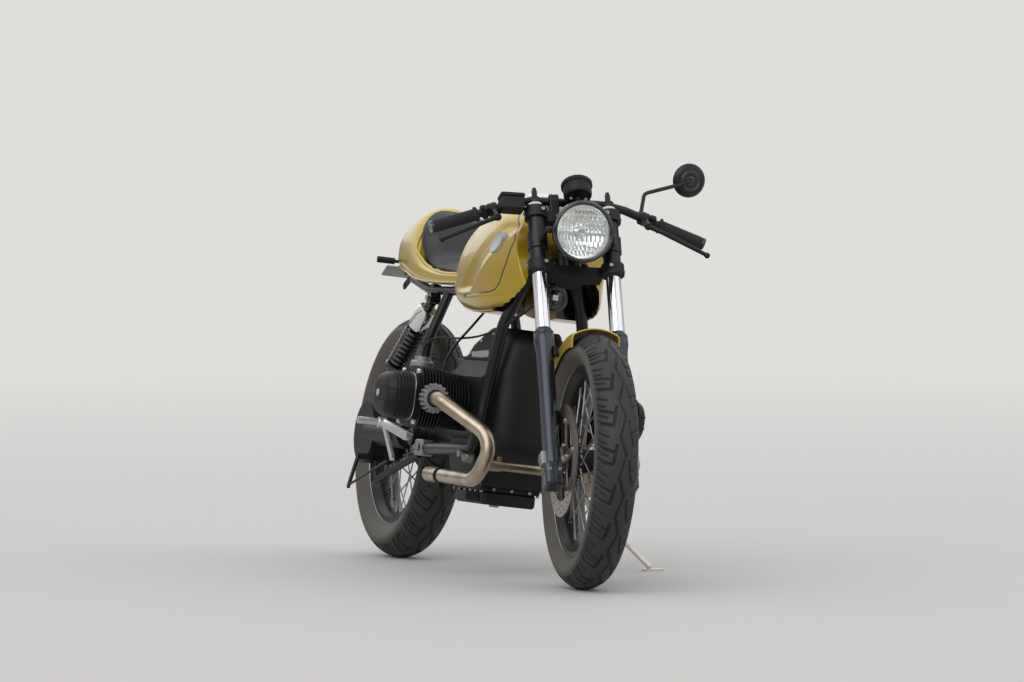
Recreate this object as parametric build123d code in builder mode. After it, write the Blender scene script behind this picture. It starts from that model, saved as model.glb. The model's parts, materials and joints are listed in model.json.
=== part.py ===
"""Cafe racer on an older flat-twin roadster with shaft drive, parked on its side stand.

Millimetres. +X is the rider's left, +Y the rear, +Z up. The machine is drawn upright, front axle over Y = 0
and wheels in the plane X = 0. At the end the steered pieces turn about the steering axis, the whole machine
leans onto its stand, and the origin goes to the middle of its footprint on the ground.
"""
from build123d import *
from math import atan2, cos, degrees, radians, sin, sqrt
import os

os.makedirs("parts", exist_ok=True)

# Chassis
wheelbase = 1447.0
rake = 28.0               # steering axis from the vertical
fork_offset = 58.0        # fork legs ahead of the steering axis, square to it
lean = 7.0                # to the rider's left, on the side stand
steer = -7.4              # front wheel turned to the rider's right as parked

# Wheels
front_radius, front_width = 322.0, 110.0
rear_radius, rear_width = 334.0, 125.0
bead_radius = 232.0       # where the tyre sits on the rim
flange_radius = 243.0
rim_inner_radius = 214.0
rim_wall = 4.0
shoulder_drop = 39.0      # crown height over the tyre's widest line
spoke_diameter = 4.0
spoke_groups = 10         # four spokes in each
front_axle_diameter = 17.0
rear_axle_diameter = 20.0
axle_play = 0.1           # between an axle and the hub that turns on it

# Front end, heights along the fork from the axle
leg_spacing = 195.0
stanchion_diameter = 38.5
leg_diameter = 47.0
collar_diameter = 53.0
leg_bottom, leg_top = -78.0, 365.0
stanchion_top = 737.0
fork_cap_top = 783.0
lower_clamp_low, lower_clamp_high = 540.0, 568.0
clamp_eye_radius = 30.0
top_clamp_low, top_clamp_high = 692.0, 722.0
stem_diameter = 28.0
head_tube_diameter, head_tube_bore = 60.0, 48.0
head_tube_gap = 6.0
disc_diameter, disc_thickness, disc_spacing = 285.0, 5.0, 128.0
bar_diameter = 22.2
bar_half_width = 357.0
grip_length, grip_diameter = 122.0, 33.0
switch_diameter = 38.0
headlamp_diameter, headlamp_depth = 160.0, 105.0
lens_diameter = 140.0
headlamp_height = 611.0
headlamp_reach = 152.0    # face ahead of the steering axis
ear_height = 600.0        # foot of the lamp ear's sleeve
fender_gap = 12.5         # over the tyre's crown
fender_half_width, fender_sheet = 62.0, 2.5
fender_radius = front_radius + fender_gap + fender_sheet

# Engine
cylinder_height = 440.0
right_cylinder_y, left_cylinder_y = 690.0, 645.0
case_half_width = 120.0
engine_half_width = 362.0
barrel_radius, barrel_growth = 70.0, 1.0
head_height, head_length = 162.0, 150.0
fin_thickness, fin_pitch = 3.0, 8.6
barrel_fins, head_fins = 9, 7
port_x = 245.0
port_reach = 133.0        # front of the collar nut ahead of the cylinder's axis
header_diameter, header_wall = 38.0, 2.0
header_end = (157.0, 798.0, 242.0)
collar_nut_diameter, collar_nut_fins = 78.0, 18
crossover_diameter = 25.0

# Frame tubes
cradle_tube = 31.0
cradle_half_width = 125.0
seat_tube = 24.0
swingarm_length = 417.0
pivot_y, pivot_z = wheelbase - swingarm_length, 335.0
gearbox_back = pivot_y - 45.0
shock_lug = (-150.0, wheelbase - 159.0, pivot_z + 121.0)
arm_joint = (-105.0, wheelbase - 47.0, rear_radius - 129.0)   # rear end of the reaction arm
brake_cam_y, brake_cam_z = wheelbase - 51.0, rear_radius - 68.0
brake_pull_y, brake_pull_z = wheelbase + 3.0, rear_radius - 153.0

rake_sin, rake_cos = sin(radians(rake)), cos(radians(rake))
fork = Plane(
    origin=(0, fork_offset * rake_cos, front_radius - fork_offset * rake_sin),
    x_dir=(1, 0, 0),
    z_dir=(0, rake_sin, rake_cos),
)
leg_x = leg_spacing / 2


def in_fork(x, y, h):
    """A point by its place across, behind and along the steering axis."""
    return fork.from_local_coords((x, y, h))


def rod(start, end, diameter):
    """Adds a straight round bar to the open part."""
    start, end = Vector(*start), Vector(*end)
    with BuildSketch(Plane(origin=start, z_dir=end - start)) as section:
        Circle(diameter / 2)
    extrude(section.sketch, amount=(end - start).length)


def tube(points, bends, diameter, bore=0):
    """Adds a round tube to the open part: straight runs joined by tangent arcs."""
    with BuildLine() as run:
        FilletPolyline(*points, radius=bends)
    with BuildSketch(Plane(origin=run.line @ 0, z_dir=run.line % 0)) as section:
        Circle(diameter / 2)
        if bore:
            Circle(bore / 2, mode=Mode.SUBTRACT)
    sweep(section.sketch, path=run.line)


def link(plane, start, end, width, thickness):
    """Adds a flat bar with round ends between two points of a sketch plane."""
    start, end = Vector(*start), Vector(*end)
    with BuildSketch(plane) as section:
        with Locations((start + end) / 2):
            SlotCenterToCenter(
                (end - start).length, width, rotation=degrees(atan2(end.Y - start.Y, end.X - start.X))
            )
    extrude(section.sketch, amount=thickness)


def body_section(y, half, low, waist, high, corner):
    """Cross-section of the tank or the cowl: flat bottom, round lower corners, upright sides, half an ellipse on top."""
    with BuildSketch(Plane.XZ.offset(-y)) as section:
        with BuildLine():
            Line((-half + corner, low), (half - corner, low))
            TangentArc((half - corner, low), (half, low + corner), tangent=(1, 0))
            Line((half, low + corner), (half, waist))
            EllipticalCenterArc((0, waist), half, high - waist, start_angle=0, arc_size=180)
            Line((-half, waist), (-half, low + corner))
            TangentArc((-half, low + corner), (-half + corner, low), tangent=(0, -1))
        make_face()
    return section.sketch


def turned(axis, *outline):
    """Adds the solid that an outline makes when it turns about an axis."""
    with BuildSketch(outline[0]) as profile:
        with BuildLine():
            Polyline(*outline[1:], close=True)
        make_face()
    revolve(profile.sketch, axis)


def crown_radius(radius, width):
    return ((width / 2) ** 2 + shoulder_drop ** 2) / (2 * shoulder_drop)


def wheel_plane(y, radius):
    """Sketch plane through an axle: local X across the wheel, local Y up its radius."""
    return Plane(origin=(0, y, radius), x_dir=(1, 0, 0), z_dir=(0, -1, 0))


def axle_line(y, radius):
    return Axis((0, y, radius), (1, 0, 0))


def add_tyre(y, radius, width):
    seat_half = width * 0.27
    with BuildSketch(wheel_plane(y, radius)) as profile:
        with BuildLine():
            Polyline(
                (width / 2, radius - shoulder_drop), (seat_half + 8, flange_radius + 2), (seat_half, flange_radius),
                (seat_half, bead_radius), (-seat_half, bead_radius), (-seat_half, flange_radius),
                (-seat_half - 8, flange_radius + 2), (-width / 2, radius - shoulder_drop),
            )
            ThreePointArc(
                (-width / 2, radius - shoulder_drop), (0, radius), (width / 2, radius - shoulder_drop)
            )
        make_face()
    revolve(profile.sketch, axle_line(y, radius))


def add_rim(y, radius, width):
    seat_half = width * 0.27
    well_half = seat_half * 0.55
    outside = [
        (seat_half, bead_radius), (seat_half, flange_radius), (seat_half + rim_wall, flange_radius),
        (seat_half + rim_wall, bead_radius - rim_wall), (well_half, rim_inner_radius), (-well_half, rim_inner_radius),
        (-seat_half - rim_wall, bead_radius - rim_wall), (-seat_half - rim_wall, flange_radius),
        (-seat_half, flange_radius), (-seat_half, bead_radius),
        (-well_half, rim_inner_radius + rim_wall), (well_half, rim_inner_radius + rim_wall),
    ]
    turned(axle_line(y, radius), wheel_plane(y, radius), *outside)


def add_spokes(y, radius, hub_radius, flange_x):
    """Crossed spokes from both hub flanges to the rim, trimmed to the rim's inner face."""
    step = 360 / (2 * spoke_groups)
    centre = Vector(0, y, radius)
    for side in (-1, 1):
        for index in range(2 * spoke_groups):
            swing = 38 if index % 2 else -38
            at_hub = radians(index * step + side * step / 4)
            at_rim = at_hub + radians(swing)
            hub_end = centre + Vector(side * flange_x, hub_radius * sin(at_hub), hub_radius * cos(at_hub))
            rim_end = centre + Vector(
                side * 6, (rim_inner_radius + 3) * sin(at_rim), (rim_inner_radius + 3) * cos(at_rim)
            )
            rod(hub_end, rim_end, spoke_diameter)
    with BuildSketch(wheel_plane(y, radius)) as room:
        with Locations((0, (hub_radius + rim_inner_radius) / 2)):
            Rectangle(4 * flange_x, rim_inner_radius - hub_radius)
    revolve(room.sketch, axle_line(y, radius), mode=Mode.INTERSECT)


pieces = []


def finish(piece, name, body):
    pieces.append((piece, name, body))


# Front wheel
with BuildPart() as front_tyre:
    add_tyre(0, front_radius, front_width)
finish(front_tyre, "front_tyre", "steering")

with BuildPart() as front_rim:
    add_rim(0, front_radius, front_width)
finish(front_rim, "front_rim", "steering")

hub_flange_radius = 52.0
hub_flange_x = 33.0
with BuildPart() as front_spokes:
    add_spokes(0, front_radius, hub_flange_radius, hub_flange_x)
finish(front_spokes, "front_spokes", "steering")

disc_x = disc_spacing / 2
with BuildPart() as front_hub:
    turned(
        axle_line(0, front_radius), wheel_plane(0, front_radius),
        (-disc_x, front_axle_diameter / 2 + axle_play), (-disc_x, 40), (-hub_flange_x - 5, 40),
        (-hub_flange_x - 5, hub_flange_radius), (-hub_flange_x + 4, hub_flange_radius), (-hub_flange_x + 10, 30),
        (hub_flange_x - 10, 30), (hub_flange_x - 4, hub_flange_radius), (hub_flange_x + 5, hub_flange_radius),
        (hub_flange_x + 5, 40), (disc_x, 40), (disc_x, front_axle_diameter / 2 + axle_play),
    )
finish(front_hub, "front_hub", "steering")

with BuildPart() as front_discs:
    for side in (-1, 1):
        with BuildSketch(Plane(origin=(side * disc_x, 0, front_radius), z_dir=(side, 0, 0))):
            Circle(disc_diameter / 2)
            Circle(disc_diameter / 2 - 40, mode=Mode.SUBTRACT)
            for turn in range(5):
                with Locations(Rotation(0, 0, turn * 72)):
                    with Locations((70, 0)):
                        Rectangle(75, 26)
            Circle(46)
            Circle(front_axle_diameter / 2 + 4, mode=Mode.SUBTRACT)
        extrude(amount=disc_thickness)
finish(front_discs, "front_discs", "steering")

# Rear wheel
with BuildPart() as rear_tyre:
    add_tyre(wheelbase, rear_radius, rear_width)
finish(rear_tyre, "rear_tyre", "frame")

with BuildPart() as rear_rim:
    add_rim(wheelbase, rear_radius, rear_width)
finish(rear_rim, "rear_rim", "frame")

rear_flange_radius, rear_flange_x = 78.0, 36.0
with BuildPart() as rear_spokes:
    add_spokes(wheelbase, rear_radius, rear_flange_radius, rear_flange_x)
finish(rear_spokes, "rear_spokes", "frame")

with BuildPart() as rear_hub:
    turned(
        axle_line(wheelbase, rear_radius), wheel_plane(wheelbase, rear_radius),
        (-52, rear_axle_diameter / 2 + axle_play), (-52, 70), (-rear_flange_x - 5, 70), (-rear_flange_x - 5, rear_flange_radius),
        (-rear_flange_x + 4, rear_flange_radius), (-rear_flange_x + 8, 62), (rear_flange_x - 8, 50),
        (rear_flange_x - 4, rear_flange_radius), (rear_flange_x + 5, rear_flange_radius), (rear_flange_x + 5, 30),
        (60, 26), (60, rear_axle_diameter / 2 + axle_play),
    )
finish(rear_hub, "rear_hub", "frame")

# Fork and steering
with BuildPart() as stanchions:
    for x in (-leg_x, leg_x):
        rod(in_fork(x, -fork_offset, leg_top), in_fork(x, -fork_offset, lower_clamp_low), stanchion_diameter)
        rod(
            in_fork(x, -fork_offset, lower_clamp_high), in_fork(x, -fork_offset, top_clamp_low), stanchion_diameter
        )
        rod(in_fork(x, -fork_offset, top_clamp_high), in_fork(x, -fork_offset, stanchion_top), stanchion_diameter)
        rod(in_fork(x, -fork_offset, stanchion_top), in_fork(x, -fork_offset, stanchion_top + 14), 34)
        rod(in_fork(x, -fork_offset, stanchion_top + 14), in_fork(x, -fork_offset, fork_cap_top), 15)
finish(stanchions, "stanchions", "steering")

fork_legs = []
for x, label in ((-leg_x, "fork_leg_right"), (leg_x, "fork_leg_left")):
    with BuildPart() as fork_leg:
        rod(in_fork(x, -fork_offset, -22), in_fork(x, -fork_offset, leg_top - 30), leg_diameter)
        rod(in_fork(x, -fork_offset, leg_top - 30), in_fork(x, -fork_offset, leg_top), collar_diameter)
        with BuildSketch(fork.offset(leg_bottom)):
            with Locations((x, -fork_offset)):
                RectangleRounded(leg_diameter, leg_diameter + 8, 10)
        extrude(amount=64)
        rod(in_fork(x, -fork_offset, 0), in_fork(x * 1.32, -fork_offset, 0), front_axle_diameter + 12)
    fork_legs.append(fork_leg.part)
    finish(fork_leg, label, "steering")

with BuildPart() as front_axle:
    inner = leg_x - leg_diameter / 2
    rod((-inner, 0, front_radius), (inner, 0, front_radius), front_axle_diameter)
finish(front_axle, "front_axle", "steering")

with BuildPart() as lower_clamp:
    with BuildSketch(fork.offset(lower_clamp_low)):
        with Locations((-leg_x, -fork_offset), (leg_x, -fork_offset)):
            Circle(clamp_eye_radius)
        with Locations((0, -24)):
            Rectangle(150, 44)
        Circle(30)
    extrude(amount=lower_clamp_high - lower_clamp_low)
    with BuildSketch(fork.offset(lower_clamp_high)):
        Circle(stem_diameter / 2)
    extrude(amount=top_clamp_low - lower_clamp_high)
finish(lower_clamp, "lower_clamp", "steering")

bar_height = 762.0
grip_start = (235, -14, 724)
bar_end = (bar_half_width, -2, 683)
bar_points = [(95, -30, bar_height), (150, -26, 752), grip_start, bar_end]
with BuildPart() as handlebar:
    path = [in_fork(*p) for p in bar_points]
    mirrored = [in_fork(-p[0], p[1], p[2]) for p in reversed(bar_points)]
    tube(mirrored + path, [400, 60, 60, 60, 60, 400], bar_diameter)
finish(handlebar, "handlebar", "steering")

with BuildPart() as top_clamp:
    with BuildSketch(fork.offset(top_clamp_low)):
        with Locations((-leg_x, -fork_offset), (leg_x, -fork_offset)):
            Circle(clamp_eye_radius)
        with Locations((0, -26)):
            Rectangle(160, 56)
        Circle(27)
    extrude(amount=top_clamp_high - top_clamp_low)
    with BuildSketch(fork.offset(top_clamp_high)):
        Circle(18)
    extrude(amount=14)
    for x in (-42, 42):
        with BuildSketch(fork.offset(top_clamp_high)):
            with Locations((x, -30)):
                RectangleRounded(26, 34, 6)
        extrude(amount=bar_height - top_clamp_high + 13)
    add(handlebar.part, mode=Mode.SUBTRACT)
finish(top_clamp, "top_clamp", "steering")

with BuildPart() as front_fender:
    with BuildSketch(wheel_plane(0, front_radius)):
        with BuildLine():
            Polyline((-fender_half_width, fender_radius - 50), (-fender_half_width, fender_radius - 18))
            ThreePointArc(
                (-fender_half_width, fender_radius - 18), (0, fender_radius), (fender_half_width, fender_radius - 18)
            )
            Polyline((fender_half_width, fender_radius - 18), (fender_half_width, fender_radius - 50))
            Line((fender_half_width, fender_radius - 50), (fender_half_width - fender_sheet, fender_radius - 50))
            Line(
                (fender_half_width - fender_sheet, fender_radius - 50),
                (fender_half_width - fender_sheet, fender_radius - 19),
            )
            ThreePointArc(
                (fender_half_width - fender_sheet, fender_radius - 19), (0, fender_radius - fender_sheet),
                (-fender_half_width + fender_sheet, fender_radius - 19),
            )
            Line(
                (-fender_half_width + fender_sheet, fender_radius - 19),
                (-fender_half_width + fender_sheet, fender_radius - 50),
            )
            Line((-fender_half_width + fender_sheet, fender_radius - 50), (-fender_half_width, fender_radius - 50))
        make_face()
    revolve(axis=Axis((0, 0, front_radius), (-1, 0, 0)), revolution_arc=62)
    for side in (-1, 1):
        peg_at = in_fork(side * (fender_half_width - 1), -fork_offset, fender_radius - 34)
        rod(peg_at, peg_at + Vector(side * (leg_x - fender_half_width), 0, 0), 14)
    for leg in fork_legs:
        add(leg, mode=Mode.SUBTRACT)
finish(front_fender, "front_fender", "steering")

lamp_height = in_fork(0, -headlamp_reach, headlamp_height)
lamp_centre = Vector(0, round(lamp_height.Y, 3), round(lamp_height.Z, 3))
with BuildPart() as headlamp_shell:
    with BuildSketch(Plane(origin=lamp_centre, x_dir=(0, 1, 0), z_dir=(1, 0, 0))):
        with BuildLine():
            Polyline(
                (headlamp_depth, 0), (4, 0), (4, lens_diameter / 2), (-8, lens_diameter / 2 + 3),
                (-6, headlamp_diameter / 2 - 2), (0, headlamp_diameter / 2), (12, headlamp_diameter / 2),
                (16, headlamp_diameter / 2 - 6), (40, headlamp_diameter / 2 - 8),
            )
            TangentArc((headlamp_depth, 0), (40, headlamp_diameter / 2 - 8), tangent=(0, 1))
        make_face()
    revolve(axis=Axis(lamp_centre, (0, 1, 0)))
    for side in (-1, 1):
        ear_low, ear_high = in_fork(side * leg_x, -fork_offset, ear_height), in_fork(side * leg_x, -fork_offset, ear_height + 46)
        rod(ear_low, ear_high, collar_diameter)
        rod(lamp_centre + Vector(side * 66, 26, 0), (ear_low + ear_high) / 2, 16)
    add(stanchions.part, mode=Mode.SUBTRACT)
finish(headlamp_shell, "headlamp_shell", "steering")

with BuildPart() as headlamp_lens:
    with BuildSketch(Plane(origin=lamp_centre, x_dir=(0, 1, 0), z_dir=(1, 0, 0))):
        with BuildLine():
            Polyline((-22, 0), (4, 0), (4, lens_diameter / 2), (-4, lens_diameter / 2))
            TangentArc((-22, 0), (-4, lens_diameter / 2), tangent=(0, 1))
        make_face()
    revolve(axis=Axis(lamp_centre, (0, 1, 0)))
finish(headlamp_lens, "headlamp_lens", "steering")

# Frame
rail_x, rail_z = 90.0, 736.0
cowl_base = 752.0
rear_tube_x = 132.0
with BuildPart() as rear_subframe:
    for side in (-1, 1):
        tube(
            [(side * rail_x, 892, rail_z), (side * rail_x, 1160, rail_z), (side * 62, 1400, 768)],
            [200], seat_tube,
        )
        tube(
            [
                (side * rail_x, pivot_y - 30, rail_z - 4), (side * 130, pivot_y - 20, 600),
                (side * rear_tube_x, pivot_y, 420),
                (side * cradle_half_width, pivot_y, 300),
            ],
            [150, 150], 27,
        )
        rod((side * (rear_tube_x + 11), pivot_y, pivot_z), (side * 106, pivot_y, pivot_z), 46)
        with BuildSketch(Plane.XY.offset(rail_z)):
            with Locations((side * rail_x, 920), (side * rail_x, 1120)):
                Rectangle(20, 30)
        extrude(amount=cowl_base - rail_z)
    rod((-rail_x, 906, rail_z), (rail_x, 906, rail_z), 20)
finish(rear_subframe, "rear_subframe", "frame")

with BuildPart() as backbone:
    rod((0, 360, 852), (0, 600, 820), 40)
    rod((0, 600, 820), (0, 906, rail_z - 14), 40)
    with BuildSketch(fork.offset(lower_clamp_high + head_tube_gap)):
        Circle(head_tube_diameter / 2)
    extrude(amount=top_clamp_low - lower_clamp_high - 2 * head_tube_gap)
    with BuildSketch(fork.offset(lower_clamp_high + head_tube_gap)):
        Circle(head_tube_bore / 2)
    extrude(amount=top_clamp_low - lower_clamp_high - 2 * head_tube_gap, mode=Mode.SUBTRACT)
    add(rear_subframe.part, mode=Mode.SUBTRACT)

for side, label in ((-1, "cradle_tube_right"), (1, "cradle_tube_left")):
    with BuildPart() as cradle:
        tube(
            [
                (side * 16, 412, 836), (side * 68, 442, 782), (side * 110, 476, 656), (side * 118, 524, 480),
                (side * 128, 528, 372), (side * cradle_half_width, 572, 320),
                (side * cradle_half_width, pivot_y, 305),
            ],
            [60, 150, 300, 120, 50], cradle_tube,
        )
        add(backbone.part, mode=Mode.SUBTRACT)
        add(rear_subframe.part, mode=Mode.SUBTRACT)
    finish(cradle, label, "frame")
left_cradle = cradle.part
right_cradle = pieces[-2][0].part
finish(backbone, "backbone", "frame")

# Engine
case_front, case_back = 566.0, 810.0
cover_front = 478.0
with BuildPart() as crankcase:
    with BuildSketch(Plane.XZ.offset(-case_front)):
        with BuildLine():
            Polyline(
                (-88, 228), (-104, 300), (-104, 345), (-case_half_width, 372), (-case_half_width, 510), (-90, 560),
                (90, 560), (case_half_width, 510), (case_half_width, 372), (104, 345), (104, 300), (88, 228),
                close=True,
            )
        make_face()
    extrude(amount=case_front - case_back)
finish(crankcase, "crankcase", "frame")

with BuildPart() as front_cover:
    with BuildSketch(Plane.XZ.offset(-cover_front)):
        with BuildLine():
            Polyline(
                (-70, 292), (-96, 330), (-96, 540), (-80, 640), (80, 640), (96, 540), (96, 330), (70, 292),
                close=True,
            )
        make_face()
    extrude(amount=cover_front - case_front)
finish(front_cover, "front_cover", "frame")

with BuildPart() as top_cover:
    with BuildSketch(Plane.YZ.offset(-90)):
        with BuildLine():
            Polyline((566, 560), (566, 650), (640, 640), (750, 600), (806, 560), close=True)
        make_face()
    extrude(amount=180)
finish(top_cover, "top_cover", "frame")

with BuildPart() as gearbox:
    with BuildSketch(Plane.XZ.offset(-case_back)):
        with Locations((0, 430)):
            RectangleRounded(200, 250, 40)
    with BuildSketch(Plane.XZ.offset(-gearbox_back)):
        with Locations((0, 420)):
            RectangleRounded(170, 200, 30)
    loft()
finish(gearbox, "gearbox", "frame")

with BuildPart() as oil_pan:
    with BuildSketch(Plane.XY.offset(180)):
        with Locations((0, 698)):
            RectangleRounded(150, 228, 18)
    extrude(amount=36)
    with BuildSketch(Plane.XY.offset(216)):
        with Locations((0, 698)):
            RectangleRounded(166, 244, 18)
    extrude(amount=12)
    with BuildSketch(Plane.XY.offset(186)):
        for index in range(8):
            with Locations((0, 616 + index * 13)):
                Rectangle(160, 4)
    extrude(amount=32)
finish(oil_pan, "oil_pan", "frame")

headers = []
cover_start = 163.0
cover_sections = [
    # depth, width, height, corner
    (0, 148, 124, 42), (36, 146, 122, 48), (58, 136, 112, 50), (70, 120, 96, 46), (75, 100, 76, 36),
]
cover_steps = [156, 151, 147, 144]
for side, cylinder_y, elbow_back, name in ((-1, right_cylinder_y, 10, "right"), (1, left_cylinder_y, 55, "left")):
    deck = Plane(origin=(side * case_half_width, cylinder_y, cylinder_height), x_dir=(0, 1, 0), z_dir=(side, 0, 0))
    head_start = 12 + barrel_fins * fin_pitch
    with BuildPart() as cylinder:
        with BuildSketch(deck):
            Circle(52)
        extrude(amount=head_start)
        for index in range(barrel_fins):
            with BuildSketch(deck.offset(12 + index * fin_pitch)):
                Circle(barrel_radius + index * barrel_growth)
            extrude(amount=fin_thickness)
        with BuildSketch(deck):
            with Locations((-26, -68 * side), (26, -68 * side)):
                Circle(7)
        extrude(amount=head_start)
        with BuildSketch(deck.offset(head_start)):
            RectangleRounded(118, 120, 30)
        extrude(amount=cover_start - head_start)
        for index in range(head_fins):
            with BuildSketch(deck.offset(head_start + index * fin_pitch)):
                RectangleRounded(head_length, head_height, 44)
            extrude(amount=fin_thickness)
    finish(cylinder, "cylinder_" + name, "frame")
    with BuildPart() as rocker_cover:
        for depth, width, height, corner in cover_sections:
            with BuildSketch(deck.offset(cover_start + depth)):
                RectangleRounded(width, height, corner)
        loft(ruled=True)
        for index, width in enumerate(cover_steps):
            with BuildSketch(deck.offset(cover_start + index * 9)):
                RectangleRounded(width, width - 32, 38)
            extrude(amount=5)
        for height in (15 * side, -15 * side):
            with BuildSketch(deck.offset(cover_start + 40)):
                with Locations((0, height)):
                    Rectangle(104, 4)
            extrude(amount=engine_half_width - case_half_width - cover_start - 40)
        with BuildSketch(deck.offset(cover_start + 60)):
            Circle(8)
        extrude(amount=engine_half_width - case_half_width - cover_start - 60)
    finish(rocker_cover, "rocker_cover_" + name, "frame")
    port = (side * port_x, cylinder_y - port_reach, cylinder_height)
    with BuildPart() as collar_nut:
        with BuildSketch(Plane(origin=port, z_dir=(0, 1, 0))):
            Circle(collar_nut_diameter / 2 - 9)
            with PolarLocations(collar_nut_diameter / 2 - 7, collar_nut_fins):
                Rectangle(14, 5)
            Circle(header_diameter / 2, mode=Mode.SUBTRACT)
        extrude(amount=26)
        with BuildSketch(Plane(origin=port, z_dir=(0, 1, 0)).offset(26)):
            Circle(header_diameter / 2 + 6)
            Circle(header_diameter / 2, mode=Mode.SUBTRACT)
        extrude(amount=port_reach - 26 - head_length / 2)
    finish(collar_nut, "collar_nut_" + name, "frame")
    header_run = [
        (side * port_x, cylinder_y - head_length / 2, cylinder_height),
        (side * port_x, cylinder_y - port_reach - 26, cylinder_height),
        (side * 133, 386, 352), (side * header_end[0], 412, header_end[2]),
        (side * header_end[0], header_end[1], header_end[2]),
    ]
    header_bends = [36, 60, 60]
    with BuildPart() as header:
        tube(header_run, header_bends, header_diameter, header_diameter - 2 * header_wall)
    with BuildPart() as header_space:
        tube(header_run, header_bends, header_diameter)
    headers.append(header_space.part)
    finish(header, "header_" + name, "frame")
    with BuildPart() as carburettor:
        rod((side * 205, cylinder_y + 75, 455), (side * 184, cylinder_y + 232, 455), 50)
        rod((side * 184, cylinder_y + 190, 398), (side * 184, cylinder_y + 190, 536), 62)
        rod((side * 184, cylinder_y + 190, 536), (side * 184, cylinder_y + 190, 550), 44)
        rod((side * 184, cylinder_y + 222, 455), (side * 80, gearbox_back - elbow_back, 470), 40)
        add(gearbox.part, mode=Mode.SUBTRACT)
        add(cylinder.part, mode=Mode.SUBTRACT)
    finish(carburettor, "carburettor_" + name, "frame")

with BuildPart() as crossover:
    rod((-140, 418, 285), (140, 418, 285), crossover_diameter)
    for header in headers:
        add(header, mode=Mode.SUBTRACT)
finish(crossover, "crossover_pipe", "frame")

# Tank, cowl and pad
tank_sections = [
    # y, half width, bottom, waist, top, bottom corner radius
    (320, 72, 745, 800, 900, 30),
    (400, 122, 702, 790, 955, 36),
    (520, 156, 683, 790, 985, 40),
    (680, 155, 681, 790, 985, 40),
    (800, 142, 700, 782, 950, 36),
    (880, 120, 732, 780, 892, 30),
]
nose_gap = 58.0           # behind the steering axis, square to it
panel_x = 149.0           # floor of the pressed side panel
tunnel_half, tunnel_top = 46.0, 872.0
with BuildPart() as fuel_tank:
    loft([body_section(*section) for section in tank_sections])
    with BuildSketch(Plane.YZ.offset(-200)):
        with BuildLine():
            nose_low, nose_high = in_fork(0, nose_gap, 380), in_fork(0, nose_gap, 900)
            Polyline(
                (nose_low.Y, nose_low.Z), (nose_high.Y, nose_high.Z), (nose_low.Y - 200, nose_high.Z),
                (nose_low.Y - 200, nose_low.Z), close=True,
            )
        make_face()
    extrude(amount=400, mode=Mode.SUBTRACT)
    with BuildSketch(Plane.XZ.offset(-300)):
        with Locations((0, tunnel_top - 120)):
            Rectangle(2 * tunnel_half, 240)
    extrude(amount=-620, mode=Mode.SUBTRACT)
    with BuildSketch(Plane.XZ.offset(-300)):
        with BuildLine():
            Polyline((-132, 660), (-130, 690), (-74, 830), (74, 830), (130, 690), (132, 660), close=True)
        make_face()
    extrude(amount=-206, mode=Mode.SUBTRACT)
    for side in (-1, 1):
        with BuildSketch(Plane.YZ.offset(side * panel_x)):
            with BuildLine():
                Polyline((345, 860), (452, 736), (752, 722), (700, 860), close=True)
            make_face()
        extrude(amount=side * 40, mode=Mode.SUBTRACT)
finish(fuel_tank, "fuel_tank", "frame")

roundel_diameter = 66.0
roundel_centre, roundel_facing = (139, 514, 863), Vector(0.94, 0, 0.34)
with BuildPart() as tank_roundels:
    for side in (-1, 1):
        centre_at = Vector(side * roundel_centre[0], roundel_centre[1], roundel_centre[2])
        facing = Vector(side * roundel_facing.X, 0, roundel_facing.Z)
        rod(centre_at - facing * 12, centre_at + facing * 5, roundel_diameter)
    add(fuel_tank.part, mode=Mode.SUBTRACT)
finish(tank_roundels, "tank_roundels", "frame")

with BuildPart() as filler_cap:
    rod((0, 612, 975), (0, 612, 1006), 70)
    add(fuel_tank.part, mode=Mode.SUBTRACT)
finish(filler_cap, "filler_cap", "frame")

cowl_sections = [
    (884, 112, cowl_base, 774, 790, 12),
    (1060, 122, cowl_base, 778, 800, 16),
    (1163, 128, 756, 792, 836, 20),
    (1235, 127, 764, 810, 905, 24),
    (1300, 122, 776, 832, 966, 26),
    (1390, 111, 790, 844, 960, 26),
    (1460, 94, 800, 848, 918, 22),
    (1530, 56, 815, 841, 870, 12),
]
with BuildPart(mode=Mode.PRIVATE) as cowl_body:
    loft([body_section(*section) for section in cowl_sections], ruled=True)

pad_half, pad_nose_half, pad_front, pad_back = 113.0, 86.0, 1172.0, 1584.0
pad_lie = Plane(origin=(0, 0, 0), x_dir=(1, 0, 0), z_dir=(0, -0.5, 0.866))
with BuildPart() as seat_pad:
    with BuildSketch(Plane.YZ.offset(-pad_half)):
        with BuildLine():
            Polyline((1096, 806), (888, 800), (888, 772), (1138, 772), (1290, 948), (1266, 966))
            ThreePointArc((1266, 966), (1190, 876), (1096, 806))
        make_face()
    extrude(amount=2 * pad_half)
    with BuildSketch(pad_lie):
        with BuildLine():
            Line((-pad_nose_half, pad_front), (pad_nose_half, pad_front))
            ThreePointArc(
                (pad_nose_half, pad_front), (pad_half - 9, (pad_front + pad_back) / 2), (pad_half, pad_back - pad_half)
            )
            ThreePointArc((pad_half, pad_back - pad_half), (0, pad_back), (-pad_half, pad_back - pad_half))
            ThreePointArc(
                (-pad_half, pad_back - pad_half), (9 - pad_half, (pad_front + pad_back) / 2),
                (-pad_nose_half, pad_front),
            )
        make_face()
    extrude(amount=600, both=True, mode=Mode.INTERSECT)
with BuildPart() as seat_cowl:
    add(cowl_body.part)
    with BuildSketch(Plane.YZ.offset(-200)):
        with BuildLine():
            Polyline(
                (800, 784), (1098, 790), (1180, 848), (1258, 962), (1258, 1100), (800, 1100), close=True,
            )
        make_face()
    extrude(amount=400, mode=Mode.SUBTRACT)
    add(seat_pad.part, mode=Mode.SUBTRACT)
finish(seat_cowl, "seat_cowl", "frame")
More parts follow.
